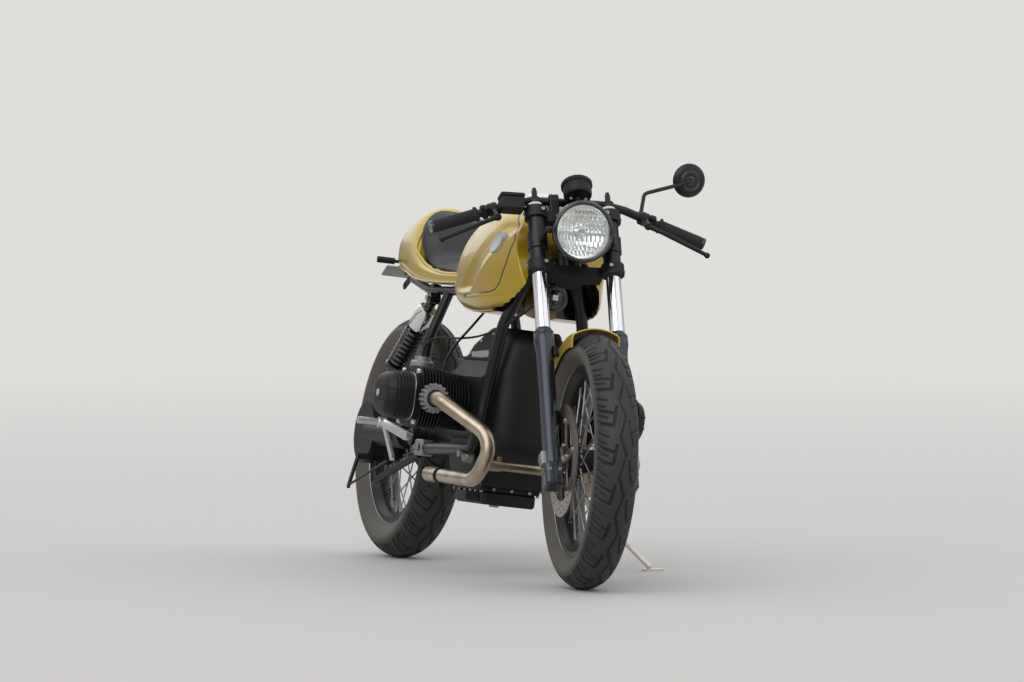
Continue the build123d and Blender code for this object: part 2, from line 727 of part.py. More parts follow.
finish(seat_pad, "seat_pad", "frame")

# Rear drive
with BuildPart() as swingarm:
    rod((-104, pivot_y, pivot_z), (104, pivot_y, pivot_z), 50)
    rod((-70, pivot_y, pivot_z), (-112, pivot_y + 120, pivot_z), 50)
    rod((-112, pivot_y + 106, pivot_z), (-112, wheelbase, rear_radius), 70)
    rod((-58, wheelbase, rear_radius), (-140, wheelbase, rear_radius), 170)
    rod((-118, shock_lug[1], pivot_z), shock_lug, 28)
    rod((arm_joint[0], wheelbase, rear_radius), arm_joint, 30)
    rod((-112, pivot_y, pivot_z - 45), arm_joint, 20)
    rod((-130, brake_cam_y, brake_cam_z), (-168, brake_cam_y, brake_cam_z), 18)
    link(Plane.YZ.offset(-168), (brake_cam_y, brake_cam_z), (brake_pull_y, brake_pull_z), 14, 6)
    rod((-165, pivot_y + 110, pivot_z - 73), (-165, brake_pull_y, brake_pull_z + 2), 7)
    add(rear_subframe.part, mode=Mode.SUBTRACT)
    add(right_cradle, mode=Mode.SUBTRACT)
finish(swingarm, "swingarm", "frame")

with BuildPart() as rear_axle:
    rod((-52, wheelbase, rear_radius), (60, wheelbase, rear_radius), rear_axle_diameter)
finish(rear_axle, "rear_axle", "frame")

shock_top, shock_foot = Vector(-105, pivot_y + 50, rail_z - 23), Vector(*shock_lug)
shock_along = (shock_foot - shock_top).normalized()
spring_diameter, spring_wire, spring_pitch, spring_turns = 60.0, 9.0, 15.5, 8
with BuildPart() as shock:
    rod(shock_top + shock_along * 20, shock_foot - shock_along * 20, 34)
    rod(shock_top + shock_along * 36, shock_top + shock_along * 104, 58)
    for turn in range(spring_turns):
        at = shock_top + shock_along * (110 + turn * spring_pitch)
        rod(at, at + shock_along * spring_wire, spring_diameter)
    rod(shock_top + shock_along * 236, shock_top + shock_along * 250, 62)
    with BuildPart(mode=Mode.PRIVATE) as eyes:
        rod(shock_top, shock_top + shock_along * 24, 30)
        rod(shock_foot - shock_along * 24, shock_foot, 30)
        rod(shock_top + Vector(-16, 0, 0), shock_top + Vector(15, 0, 0), 32)
        rod(shock_foot + Vector(-16, 0, 0), shock_foot + Vector(16, 0, 0), 36)
        add(rear_subframe.part, mode=Mode.SUBTRACT)
        add(swingarm.part, mode=Mode.SUBTRACT)
    add(eyes.part)
finish(shock, "shock_absorber", "frame")

plate_centre, plate_facing, plate_thickness = (0, 1582, 787), (0, 0.52, 0.854), 3.0
with BuildPart() as plate_carrier:
    with BuildSketch(Plane(origin=plate_centre, x_dir=(1, 0, 0), z_dir=plate_facing)):
        Rectangle(180, 50)
        with Locations((0, -40)):
            Rectangle(80, 60)
    extrude(amount=plate_thickness)
    for side in (-1, 1):
        link(Plane.YZ.offset(side * 40), (1440, 806), (1545, 790), 20, 4)
        link(Plane.YZ.offset(side * 40), (1470, 788), (1545, 750), 20, 4)
        with BuildSketch(Plane.YZ.offset(side * 40)):
            with Locations((1500, 773), (1535, 755)):
                Circle(5)
        extrude(amount=side * 10, both=True, mode=Mode.SUBTRACT)
    add(seat_cowl.part, mode=Mode.SUBTRACT)
finish(plate_carrier, "plate_carrier", "frame")

# Controls and lights on the steering
with BuildPart() as grips:
    for side in (-1, 1):
        outer = in_fork(side * bar_end[0], bar_end[1], bar_end[2])
        inner = in_fork(side * grip_start[0], grip_start[1], grip_start[2])
        along = (outer - inner).normalized()
        rod(outer - along * grip_length, outer + along * 8, grip_diameter)
    add(handlebar.part, mode=Mode.SUBTRACT)
finish(grips, "grips", "steering")

with BuildPart() as levers:
    for side in (-1, 1):
        rod(in_fork(side * 200, -62, 690), in_fork(side * 350, -66, 613), 12)
        rod(in_fork(side * 200, -19, 735), in_fork(side * 200, -66, 686), 22)
        rod(in_fork(side * 188, -20.6, 739.5), in_fork(side * 231, -14.6, 725.4), switch_diameter)
        rod(in_fork(side * 345, -66, 616), in_fork(side * 354, -66, 610), 16)
    add(handlebar.part, mode=Mode.SUBTRACT)
finish(levers, "levers", "steering")

with BuildPart() as brake_reservoir:
    with BuildSketch(Plane(origin=in_fork(-162, -62, 709), x_dir=(1, 0, 0), z_dir=(0, 0.35, 0.94))):
        RectangleRounded(64, 50, 6)
    extrude(amount=45)
    rod(in_fork(-158, -62, 726), in_fork(-158, -25, 749), 18)
    add(handlebar.part, mode=Mode.SUBTRACT)
    add(levers.part, mode=Mode.SUBTRACT)
finish(brake_reservoir, "brake_reservoir", "steering")

mirror_centre = in_fork(343, 0, 869)
with BuildPart() as mirror:
    rod(in_fork(196, -10, 748), in_fork(215, 0, 824), 12)
    rod(in_fork(215, 0, 824), in_fork(336, 4, 866), 10)
    with BuildSketch(Plane(origin=mirror_centre, z_dir=(-0.12, 1, 0.1))):
        Circle(45)
    extrude(amount=14)
    add(handlebar.part, mode=Mode.SUBTRACT)
    add(levers.part, mode=Mode.SUBTRACT)
finish(mirror, "mirror", "steering")

gauge_axis = Vector(0, 0.62, 0.78)
gauge_base = in_fork(6, -104, 737)
with BuildPart() as gauge:
    rod(gauge_base, gauge_base + gauge_axis * 34, 74)
    rod(gauge_base + gauge_axis * 34, gauge_base + gauge_axis * 46, 82)
    rod(in_fork(0, -60, top_clamp_high), gauge_base + gauge_axis * 6, 14)
finish(gauge, "gauge", "steering")

caliper_inner, caliper_outer = 42.0, 88.0
with BuildPart() as calipers:
    for side in (-1, 1):
        with BuildSketch(Plane.YZ.offset(side * caliper_inner)):
            with Locations((98, front_radius + 72)):
                RectangleRounded(56, 100, 14, rotation=-rake)
        extrude(amount=side * (caliper_outer - caliper_inner))
        with BuildSketch(Plane.YZ.offset(side * (disc_x - 3))):
            with Locations((0, front_radius)):
                Circle(disc_diameter / 2 + 4)
        extrude(amount=side * (disc_thickness + 6), mode=Mode.SUBTRACT)
    for leg in fork_legs:
        add(leg, mode=Mode.SUBTRACT)
finish(calipers, "calipers", "steering")

# Small things on the frame
with BuildPart() as horn:
    rod((0, 408, 735), (0, 430, 735), 74)
    rod((0, 424, 765), (0, 424, 840), 10)
    add(backbone.part, mode=Mode.SUBTRACT)
finish(horn, "horn", "frame")

indicator_tip = 152.0
with BuildPart() as indicators:
    for side in (-1, 1):
        rod((side * 60, 1462, 812), (side * 132, 1462, 812), 9)
        rod((side * 104, 1460, 812), (side * indicator_tip, 1466, 812), 18)
    add(seat_cowl.part, mode=Mode.SUBTRACT)
finish(indicators, "rear_indicators", "frame")

peg_y, peg_z = pivot_y + 206.0, pivot_z + 29.0
for side, label in ((-1, "rearset_right"), (1, "rearset_left")):
    with BuildPart() as rearset:
        link(Plane.YZ.offset(side * 150), (peg_y, peg_z), (pivot_y, pivot_z), 24, side * 8)
        link(Plane.YZ.offset(side * 150), (peg_y, peg_z), (peg_y - 104, peg_z - 91), 18, side * 8)
        rod((side * 150, peg_y, peg_z), (side * 170, peg_y, peg_z), 30)
        rod((side * 170, peg_y, peg_z), (side * 229, peg_y, peg_z), 20)
        rod((side * 150, pivot_y, pivot_z), (side * (rear_tube_x + 11), pivot_y, pivot_z), 20)
    finish(rearset, label, "frame")

# Stance: the steered pieces turn, the machine leans until both tyres and the stand touch the ground
steered = fork.location * Rotation(0, 0, steer) * fork.location.inverse()
leaned = Rotation(0, lean, 0)


def lowest(pose, y, radius, width):
    """Height of a tyre's lowest point: the crown's ring plus the crown's own radius."""
    crown = crown_radius(radius, width)
    hub = (pose * Location((0, y, radius))).position
    outer = (pose * Location((1, y, radius))).position
    tilt = (outer - hub).Z
    return hub.Z - (radius - crown) * sqrt(1 - tilt ** 2) - crown


front_low = lowest(leaned * steered, 0, front_radius, front_width)
rear_low = lowest(leaned, wheelbase, rear_radius, rear_width)
pitched = Rotation(degrees(atan2(front_low - rear_low, wheelbase)), 0, 0)
settled = Location((0, 0, -lowest(pitched * leaned * steered, 0, front_radius, front_width)))
parked = settled * pitched * leaned
poses = {"frame": parked, "steering": parked * steered, "ground": Location()}

# Side stand, drawn where it stands: foot down ahead of its pivot, so the load holds it on its stop
stand_pivot = (parked * Location((169, 880, 322))).position
stand_foot = Vector(440, 640, 0)
foot_thickness = 6.0
folded = Vector(0.05, 0.98, -0.18).normalized()
leg_end = stand_foot + Vector(0, 0, foot_thickness + 4)
stand_axis = (leg_end - stand_pivot).cross(folded).normalized()
with BuildPart() as side_stand:
    rod(stand_pivot, stand_pivot + stand_axis * 16, 30)
    rod(stand_pivot + stand_axis * 8, leg_end, 16)
    with BuildSketch(Plane.XY):
        with Locations((stand_foot.X + 8, stand_foot.Y)):
            RectangleRounded(56, 34, 8)
    extrude(amount=foot_thickness)
finish(side_stand, "side_stand", "ground")

with BuildPart() as stand_bracket:
    rod(stand_pivot - stand_axis * 16, stand_pivot - stand_axis, 30)
    rod((parked * Location((cradle_half_width, 880, 309))).position, stand_pivot - stand_axis * 11, 18)
    add(left_cradle.moved(parked), mode=Mode.SUBTRACT)
finish(stand_bracket, "stand_bracket", "ground")

for piece, name, body in pieces:
    piece.part.move(poses[body])
box = Compound([piece.part for piece, _, _ in pieces]).bounding_box()
centre = Location((-box.center().X, -box.center().Y, 0))
for piece, name, body in pieces:
    piece.part.move(centre)
    piece.part.label = name
    export_step(piece.part, f"parts/{name}.step")

print("box", box.min, box.max, "shift", centre.position)
plate_normal = Vector(*plate_facing).normalized()
places = [
    ("steering", "frame", fork.origin, fork.z_dir),
    ("front wheel", "steering", Vector(0, 0, front_radius), Vector(1, 0, 0)),
    ("rear wheel", "frame", Vector(0, wheelbase, rear_radius), Vector(1, 0, 0)),
    ("bar centre", "steering", in_fork(0, bar_points[0][1], bar_height), Vector(1, 0, 0)),
    ("pipe end right", "frame", Vector(-header_end[0], header_end[1] - 30, header_end[2]), Vector(0, 1, 0)),
    ("pipe end left", "frame", Vector(header_end[0], header_end[1] - 30, header_end[2]), Vector(0, 1, 0)),
    ("plate face", "frame", Vector(*plate_centre) + plate_normal * plate_thickness, plate_normal),
]
for label, body, at, along in places:
    pose = centre * poses[body]
    start = (pose * Location(at)).position
    print(label, start, "along", (pose * Location(at + along)).position - start)
print("side stand", stand_pivot + centre.position, "along", stand_axis, "foot", stand_foot + centre.position)
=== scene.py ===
# %% [markdown]
# # Cafe racer on a flat-twin roadster
# The machine stands on its side stand with the fork turned a little to the rider's right. The assembly from the
# CAD step holds every place and every joint. Each section below makes one group of pieces the way the maker of
# the real machine would think of it, as a surface worked out from a few dimensions, and puts it over the plain
# solid that it stands for.
#
# Lengths in the tables are millimetres in the machine's own upright frame: X to the rider's left, Y to the rear,
# Z up from the ground, front axle over Y = 0. Scene units are metres.

# %% Setup
import json
import bmesh
import bpy
import numpy as np
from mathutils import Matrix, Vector


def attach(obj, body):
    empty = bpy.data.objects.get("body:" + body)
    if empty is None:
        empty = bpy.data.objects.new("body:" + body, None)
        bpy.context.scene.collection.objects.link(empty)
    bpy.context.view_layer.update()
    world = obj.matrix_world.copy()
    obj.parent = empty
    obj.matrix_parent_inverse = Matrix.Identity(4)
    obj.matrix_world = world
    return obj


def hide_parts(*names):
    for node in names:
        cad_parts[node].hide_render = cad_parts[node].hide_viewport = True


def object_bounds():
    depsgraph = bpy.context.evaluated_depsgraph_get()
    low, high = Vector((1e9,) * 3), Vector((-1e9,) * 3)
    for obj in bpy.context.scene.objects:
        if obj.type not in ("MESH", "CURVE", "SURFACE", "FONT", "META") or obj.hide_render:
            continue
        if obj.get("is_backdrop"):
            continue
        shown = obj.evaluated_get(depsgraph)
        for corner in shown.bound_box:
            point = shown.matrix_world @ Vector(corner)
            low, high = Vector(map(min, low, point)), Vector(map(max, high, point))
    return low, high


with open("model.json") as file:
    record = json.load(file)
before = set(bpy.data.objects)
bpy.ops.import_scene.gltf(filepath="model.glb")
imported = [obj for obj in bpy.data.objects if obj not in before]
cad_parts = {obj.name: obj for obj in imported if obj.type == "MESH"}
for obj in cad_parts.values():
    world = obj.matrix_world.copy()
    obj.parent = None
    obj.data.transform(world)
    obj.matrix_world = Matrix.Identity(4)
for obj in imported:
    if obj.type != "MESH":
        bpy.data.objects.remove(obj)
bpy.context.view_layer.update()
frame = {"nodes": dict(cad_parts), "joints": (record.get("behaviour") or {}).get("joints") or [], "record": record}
joints = {joint["name"]: joint for joint in frame["joints"]}
X, Y, Z = (1, 0, 0), (0, 1, 0), (0, 0, 1)


def unit(vector):
    """The vector divided by its length, along the last axis."""
    vector = np.asarray(vector, float)
    return vector / np.linalg.norm(vector, axis=-1, keepdims=True)


# %% [markdown]
# ## Frames of the machine
# The machine leans and its fork is turned, but every piece is easier to draw upright. The joints give enough to
# find both poses: the rear axle is the machine's own X, the line from the steering head to the rear axle fixes how
# it pitches, and the front axle with the steering axis fixes the fork.

# %% Frames
rake = np.radians(28.0)
fork_offset = 58.0
front_radius, rear_radius, wheelbase = 322.0, 334.0, 1447.0
rake_sin, rake_cos = np.sin(rake), np.cos(rake)

steer_at, steer_axis = np.array(joints["steering"]["pos_m"]), unit(joints["steering"]["axis"])
front_at, front_across = np.array(joints["front_wheel_spin"]["pos_m"]), unit(joints["front_wheel_spin"]["axis"])
rear_at, rear_across = np.array(joints["rear_wheel_spin"]["pos_m"]), unit(joints["rear_wheel_spin"]["axis"])

steer_local = np.array([0, fork_offset * rake_cos, front_radius - fork_offset * rake_sin])
reach = np.array([0, wheelbase, rear_radius]) - steer_local
tilt = np.arctan2(reach[2], reach[1])
along = unit(rear_at - steer_at)
square = np.cross(rear_across, along)
machine_axes = np.stack(
    [rear_across, along * np.cos(tilt) - square * np.sin(tilt), along * np.sin(tilt) + square * np.cos(tilt)]
)
fork_back = np.cross(steer_axis, front_across)
fork_axes = np.stack([front_across, fork_back, steer_axis])
steered_axes = np.stack(
    [front_across, rake_sin * steer_axis + rake_cos * fork_back, rake_cos * steer_axis - rake_sin * fork_back]
)
# name: axes as rows, a point of the row frame in metres, the same point in the local frame in millimetres
places = {
    "machine": (machine_axes, rear_at, np.array([0, wheelbase, rear_radius])),
    "fork": (fork_axes, steer_at, np.zeros(3)),
    "steered": (steered_axes, front_at, np.array([0, 0, front_radius])),
    "front_wheel": (steered_axes, front_at, np.zeros(3)),
    "rear_wheel": (machine_axes, rear_at, np.zeros(3)),
}


def put(points, place):
    """Local points in millimetres to the row frame in metres: the axes' sum weighted by the local numbers."""
    axes, at, local = places[place]
    return at + (np.asarray(points, float) - local) / 1000 @ axes


print("front contact", put([0, 0, 0], "steered"), "rear contact", put([0, wheelbase, 0], "machine"))

# %% [markdown]
# ## Shapes from numbers
# A few ways to make a surface: a profile turned about an axis, a ring carried along a path, a stack of sections, and
# a flat outline given thickness with broken edges. Each one works on whole arrays and gives back points and faces.
# Several of them join into one mesh, since a real part is mostly several simple forms that run into each other.


# %% Faces over points
def grid(points, wrap_rows=False, wrap_columns=False, cap=False):
    """Faces over a rows x columns array of points. Row i and column j meet their neighbours in quads; caps close
    the first and last row with one polygon each."""
    rows, columns = points.shape[:2]
    i, j = np.meshgrid(
        np.arange(rows if wrap_rows else rows - 1), np.arange(columns if wrap_columns else columns - 1), indexing="ij"
    )
    i2, j2 = (i + 1) % rows, (j + 1) % columns
    quads = np.stack([i * columns + j, i2 * columns + j, i2 * columns + j2, i * columns + j2], -1).reshape(-1, 4)
    faces = quads.tolist()
    if cap:
        faces += [list(range(columns))[::-1], list(range((rows - 1) * columns, rows * columns))]
    return points.reshape(-1, 3), faces


def skin(rings):
    """Faces over a stack of closed sections, with both ends filled."""
    return grid(rings, wrap_columns=True, cap=True)


def full_turn(steps):
    """Equal angles all round, the first one zero."""
    return np.linspace(0, 2 * np.pi, steps, endpoint=False)


def joined(*shapes):
    """One list of points and faces from several, with the face numbers moved on by the points before them."""
    points, faces, start = [], [], 0
    for shape_points, shape_faces in shapes:
        points.append(shape_points)
        faces += [[start + k for k in face] for face in shape_faces]
        start += len(shape_points)
    return np.concatenate(points), faces


# %% [markdown]
# ## Turned shapes
# Most small parts of a machine come from a lathe, so most shapes here are a profile turned about an axis.


# %% Turned shapes
def basis(axis, hint=Z):
    """Two directions square to an axis and to each other, the first one nearest to the hint."""
    axis, hint = unit(axis), np.asarray(hint, float)
    if abs(axis @ unit(hint)) > 0.95:
        hint = np.array([1.0, 0, 0]) if abs(axis[0]) < 0.9 else np.array([0, 1.0, 0])
    first = unit(hint - (hint @ axis) * axis)
    return first, np.cross(axis, first)


def lathe(profile, at, axis, steps=48, hint=Z, loop=False):
    """A profile of (along, radius) turned about an axis: at + along * axis + radius * (cos t * u + sin t * v)."""
    profile = np.asarray(profile, float)
    u, v = basis(axis, hint)
    t = full_turn(steps)[:, None, None]
    around = np.cos(t) * u + np.sin(t) * v
    points = np.asarray(at, float) + profile[None, :, :1] * unit(axis) + profile[None, :, 1:] * around
    points = points.transpose(1, 0, 2)
    if loop:
        return grid(points, wrap_rows=True, wrap_columns=True)
    return skin(points)


def bar(start, end, diameter, steps=20, edge=0.6):
    """A straight round bar with a small chamfer at both ends."""
    start, end = np.asarray(start, float), np.asarray(end, float)
    length, r = np.linalg.norm(end - start), diameter / 2
    return lathe([(0, r - edge), (edge, r), (length - edge, r), (length, r - edge)], start, end - start, steps)


# %% [markdown]
# ## Bent tubes
# Frame tubes, pipes, levers and cables are bent from straight stock: straight runs with an arc at each bend.


# %% Bent tubes
def run(points, radii, spacing=6.0):
    """A path of straight lines with a tangent arc at each inner corner: the arc starts r * tan(turn / 2) before the
    corner, and is sampled in equal angles."""
    points = np.asarray(points, float)
    radii = np.broadcast_to(np.asarray(radii, float), (len(points) - 2,))
    path = [points[0]]
    for before, corner, after, radius in zip(points, points[1:], points[2:], radii):
        a, b = unit(before - corner), unit(after - corner)
        turn = np.pi - np.arccos(np.clip(a @ b, -1, 1))
        if turn < 1e-3:
            continue
        reach = radius * np.tan(turn / 2)
        centre = corner + unit(a + b) * radius / np.cos(turn / 2)
        steps = max(3, int(radius * turn / spacing) + 1)
        from_centre = corner + a * reach - centre
        tangent = -a
        t = np.linspace(0, turn, steps)[:, None]
        path += list(centre + np.cos(t) * from_centre + np.sin(t) * radius * tangent)
    path.append(points[-1])
    return np.array(path)


def tube(path, diameter, steps=16):
    """A ring carried along a path. The ring turns only as far as the path does: each normal is the last one with its
    share along the new tangent taken out. diameter may change along the path."""
    path = np.asarray(path, float)
    tangents = unit(np.gradient(path, axis=0))
    normal = basis(tangents[0])[0]
    normals = []
    for tangent in tangents:
        normal = unit(normal - (normal @ tangent) * tangent)
        normals.append(normal)
    normals = np.array(normals)
    sides = np.cross(tangents, normals)
    t = full_turn(steps)[None, :, None]
    radius = np.broadcast_to(np.asarray(diameter, float) / 2, (len(path),))[:, None, None]
    points = path[:, None] + radius * (np.cos(t) * normals[:, None] + np.sin(t) * sides[:, None])
    return skin(points)


# %% [markdown]
# ## Flat shapes
# Plates and cast blocks are a flat outline with soft corners and some thickness, and their edges are broken.


# %% Flat shapes
def rounded(corners, radius, steps=5):
    """A closed 2-D outline with each corner replaced by an arc; radius may be one number or one for each corner."""
    corners = np.asarray(corners, float)
    radii = np.broadcast_to(np.asarray(radius, float), (len(corners),))
    before, after = np.roll(corners, 1, 0), np.roll(corners, -1, 0)
    a, b = unit(before - corners), unit(after - corners)
    turn = np.pi - np.arccos(np.clip((a * b).sum(1), -1, 1))
    room = 0.48 * np.minimum(np.linalg.norm(before - corners, axis=1), np.linalg.norm(after - corners, axis=1))
    reach = np.minimum(radii * np.tan(turn / 2), room)
    s = np.linspace(0, 1, steps)[None, :, None]
    start, end = (corners + a * reach[:, None])[:, None], (corners + b * reach[:, None])[:, None]
    return ((1 - s) ** 2 * start + 2 * s * (1 - s) * corners[:, None] + s ** 2 * end).reshape(-1, 2)


def inset(outline, amount):
    """A closed outline moved inwards: each point goes along the mean of its two edge normals."""
    area = 0.5 * np.sum(outline[:, 0] * np.roll(outline[:, 1], -1) - np.roll(outline[:, 0], -1) * outline[:, 1])
    edge = np.roll(outline, -1, 0) - outline
    edge = np.where(np.linalg.norm(edge, axis=1, keepdims=True) < 1e-9, 1e-9, edge)
    normal = unit(np.stack([-edge[:, 1], edge[:, 0]], 1)) * np.sign(area)
    mean = normal + np.roll(normal, 1, 0)
    mean = mean / np.maximum((mean ** 2).sum(1, keepdims=True) / 2, 0.4)
    return outline + mean * amount


def slab(outline, origin, x, y, thickness, edge=1.0):
    """A flat outline given thickness along x cross y, with its edges broken by a chamfer of the given size."""
    outline = np.asarray(outline, float)
    origin, x, y = np.asarray(origin, float), unit(x), unit(y)
    normal = np.cross(x, y)
    small = inset(outline, edge)
    rings = [(small, 0), (outline, edge), (outline, thickness - edge), (small, thickness)]
    points = np.stack([origin + o[:, :1] * x + o[:, 1:] * y + h * normal for o, h in rings])
    return skin(points)


def block(centre, size, x=X, y=Y, radius=2.0, edge=1.0):
    """A box with rounded upright edges and chamfered ends, centred on a point."""
    width, depth, height = np.asarray(size, float) / 2
    outline = rounded([(-width, -depth), (width, -depth), (width, depth), (-width, depth)], radius, 4)
    normal = np.cross(unit(x), unit(y))
    return slab(outline, np.asarray(centre, float) - normal * height, x, y, 2 * height, edge)


# %% [markdown]
# ## Screws and nuts
# Two kinds of fastener do for the whole machine: a socket screw's head and a hexagon nut.


# %% Screws and nuts
def screw(at, axis, diameter=10.0, height=5.0):
    """A socket screw's head: a short cylinder with a sunk middle."""
    r = diameter / 2
    return lathe(
        [(0, r), (height - 0.7, r), (height, r - 0.7), (height, r * 0.5), (height - 2, r * 0.48), (height - 2, 0.01)],
        at, axis, 14,
    )


def nut(at, axis, across_flats=17.0, height=9.0):
    """A hexagon nut with its corners turned off."""
    r = across_flats / np.sqrt(3)
    return lathe([(0, r * 0.93), (1, r), (height - 1, r), (height, r * 0.9), (height, 0.01)], at, axis, 6)


# %% [markdown]
# ## Small sums
# A few sums that the curved panels need more than once.


# %% Small sums
def to_line(points, line):
    """Distance from each 2-D point to a line of straight pieces."""
    line = np.asarray(line, float)
    nearest = np.full(points.shape[:-1], np.inf)
    for a, b in zip(line, line[1:]):
        t = np.clip(((points - a) @ (b - a)) / ((b - a) @ (b - a)), 0, 1)
        nearest = np.minimum(nearest, np.linalg.norm(points - a - t[..., None] * (b - a), axis=-1))
    return nearest


def smooth_step(value):
    """3 t^2 - 2 t^3 with t held between 0 and 1."""
    t = np.clip(value, 0, 1)
    return t * t * (3 - 2 * t)


def signed_power(value, power):
    """|value| ^ power with the sign of the value."""
    return np.sign(value) * np.abs(value) ** power


def distances(line):
    """How far each point of a line is from the first, along the line."""
    return np.concatenate([[0], np.cumsum(np.linalg.norm(np.diff(line, axis=0), axis=1))])


def resampled(line, shares):
    """The points of a 2-D line at some shares of its length."""
    s = distances(line)
    return np.stack([np.interp(shares * s[-1], s, line[:, k]) for k in (0, 1)], 1)


def cubic_weights(t):
    """The weights of start, slope at the start, end and slope at the end in a cubic from one point to the next:
    2 t^3 - 3 t^2 + 1, t^3 - 2 t^2 + t, 3 t^2 - 2 t^3 and t^3 - t^2."""
    return 2 * t ** 3 - 3 * t ** 2 + 1, t ** 3 - 2 * t ** 2 + t, 3 * t ** 2 - 2 * t ** 3, t ** 3 - t ** 2


# %% [markdown]
# ## From shapes to pieces
# A piece is one mesh with its material, placed in the row frame and fixed to the body that carries it. Where it
# stands for a plain solid of the assembly, that solid is no longer shown.


# %% Piece maker
def piece(name, shape, place, body, material, replaces=(), sharp=38.0, shade=None):
    """Builds the mesh of a shape or a list of shapes: local points to the row frame, doubled and loose points taken
    out, faces turned outwards. Edges of more than sharp degrees stay crisp. shade is one number for each point, for
    the material to read: painted shade on the tank and in the tyres' grooves, and dust on the tyres' side walls."""
    points, faces = joined(*shape) if isinstance(shape, list) else shape
    mesh = bpy.data.meshes.new(name)
    mesh.from_pydata(put(points, place).tolist(), [], faces)
    if shade is not None:
        mesh.attributes.new("shade", "FLOAT", "POINT").data.foreach_set("value", np.asarray(shade, np.float32))
    work = bmesh.new()
    work.from_mesh(mesh)
    loose = [vertex for vertex in work.verts if not vertex.link_faces]
    bmesh.ops.delete(work, geom=loose, context="VERTS")
    bmesh.ops.remove_doubles(work, verts=work.verts, dist=2e-6)
    bmesh.ops.dissolve_degenerate(work, edges=work.edges, dist=1e-6)
    bmesh.ops.recalc_face_normals(work, faces=work.faces)
    work.to_mesh(mesh)
    work.free()
    mesh.shade_smooth()
    mesh.set_sharp_from_angle(angle=np.radians(sharp))
    mesh.materials.append(material)
    made = bpy.data.objects.new(name, mesh)
    bpy.context.scene.collection.objects.link(made)
    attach(made, body)
    if replaces:
        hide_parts(*replaces)
    print(name, len(mesh.polygons), "faces")
    return made


def on_frame(name, shape, material, replaces=(), **looks):
    """A piece drawn in the machine's upright frame and carried by the frame body."""
    return piece(name, shape, "machine", "frame", material, replaces, **looks)


def on_fork(name, shape, material, replaces=(), **looks):
    """A piece drawn along the fork's own legs and carried by the steering body."""
    return piece(name, shape, "fork", "steering", material, replaces, **looks)


def on_steering(name, shape, material, replaces=(), **looks):
    """A piece drawn upright in the frame that turns with the fork, and carried by the steering body."""
    return piece(name, shape, "steered", "steering", material, replaces, **looks)


def on_wheel(name, shape, wheel, material, replaces=(), **looks):
    """A piece drawn round the centre of a wheel and carried by it."""
    return piece(name, shape, wheel, wheel, material, replaces, **looks)


# %% [markdown]
# ## Materials
# Colours are written as the eye sees them and turned to linear light. Most finishes are one flat colour with a small
# change of roughness over the surface. The paint is a metallic base under clear lacquer, and the pipes are stainless
# steel that heat has tinted straw to bronze.


# %% Colours and nodes
def seen(red, green, blue):
    """Linear light from 0-255 display numbers: c / 12.92 below 0.04, else ((c + 0.055) / 1.055) ** 2.4."""
    c = np.array([red, green, blue]) / 255
    linear = np.where(c <= 0.04045, c / 12.92, ((c + 0.055) / 1.055) ** 2.4)
    return (*linear.tolist(), 1.0)


def add(tree, kind, **values):
    """A new shader node. Each value goes to the input of its name, with a space for each underscore."""
    made = tree.nodes.new("ShaderNode" + kind)
    for name, value in values.items():
        made.inputs[name.replace("_", " ")].default_value = value
    return made


def wire(tree, *pairs):
    """Joins each output to its input."""
    for source, target in pairs:
        tree.links.new(source, target)


def shader_of(material):
    """The inputs of a material's own shader."""
    return material.node_tree.nodes["Principled BSDF"].inputs


def mixed(tree, factor, first, second):
    """first + factor * (second - first), as a colour for another node."""
    mix = tree.nodes.new("ShaderNodeMix")
    mix.data_type = "RGBA"
    mix.inputs["A"].default_value, mix.inputs["B"].default_value = first, second
    wire(tree, (factor, mix.inputs["Factor"]))
    return mix.outputs["Result"]


def ramp_through(tree, factor, stops):
    """A colour that runs straight from stop to stop of (position, colour)."""
    ramp = tree.nodes.new("ShaderNodeValToRGB")
    marks = ramp.color_ramp.elements
    marks[0].position, marks[0].color = stops[0]
    marks[1].position, marks[1].color = stops[-1]
    for position, colour in stops[1:-1]:
        marks.new(position).color = colour
    wire(tree, (factor, ramp.inputs["Fac"]))
    return ramp.outputs["Color"]


def shade_in(tree):
    """The number that a piece keeps at each of its points."""
    attribute = tree.nodes.new("ShaderNodeAttribute")
    attribute.attribute_name = "shade"
    return attribute.outputs["Fac"]


# %% [markdown]
# ## Finish maker
# A finish is one shader with a colour, a roughness that varies a little, and where it helps a fine bump.


# %% Finish maker
def finish(name, colour, roughness, metallic=0.0, coat=0.0, vary=0.0, bump=0.0, scale=120.0, second=None):
    """A surface with noise in the object's own coordinates: it moves the roughness by vary, tips the surface by bump,
    and mixes a second colour in where one is given."""
    material = bpy.data.materials.new(name)
    material.use_nodes = True
    tree, shader = material.node_tree, shader_of(material)
    for label, value in (("Base Color", colour), ("Roughness", roughness), ("Metallic", metallic),
                         ("Coat Weight", coat), ("Coat Roughness", 0.06)):
        shader[label].default_value = value
    if not (vary or bump or second):
        return material
    noise = add(tree, "TexNoise", Scale=scale, Detail=4)
    amount = noise.outputs["Fac"]
    wire(tree, (add(tree, "TexCoord").outputs["Object"], noise.inputs["Vector"]))
    if vary:
        span = add(tree, "MapRange", To_Min=max(0.02, roughness - vary), To_Max=roughness + vary)
        wire(tree, (amount, span.inputs["Value"]), (span.outputs["Result"], shader["Roughness"]))
    if bump:
        tip = add(tree, "Bump", Strength=1.0, Distance=bump)
        wire(tree, (amount, tip.inputs["Height"]), (tip.outputs["Normal"], shader["Normal"]))
    if second:
        steps = add(tree, "MapRange", From_Min=0.42, From_Max=0.62)
        wire(tree, (amount, steps.inputs["Value"]),
             (mixed(tree, steps.outputs["Result"], colour, second), shader["Base Color"]))
    return material
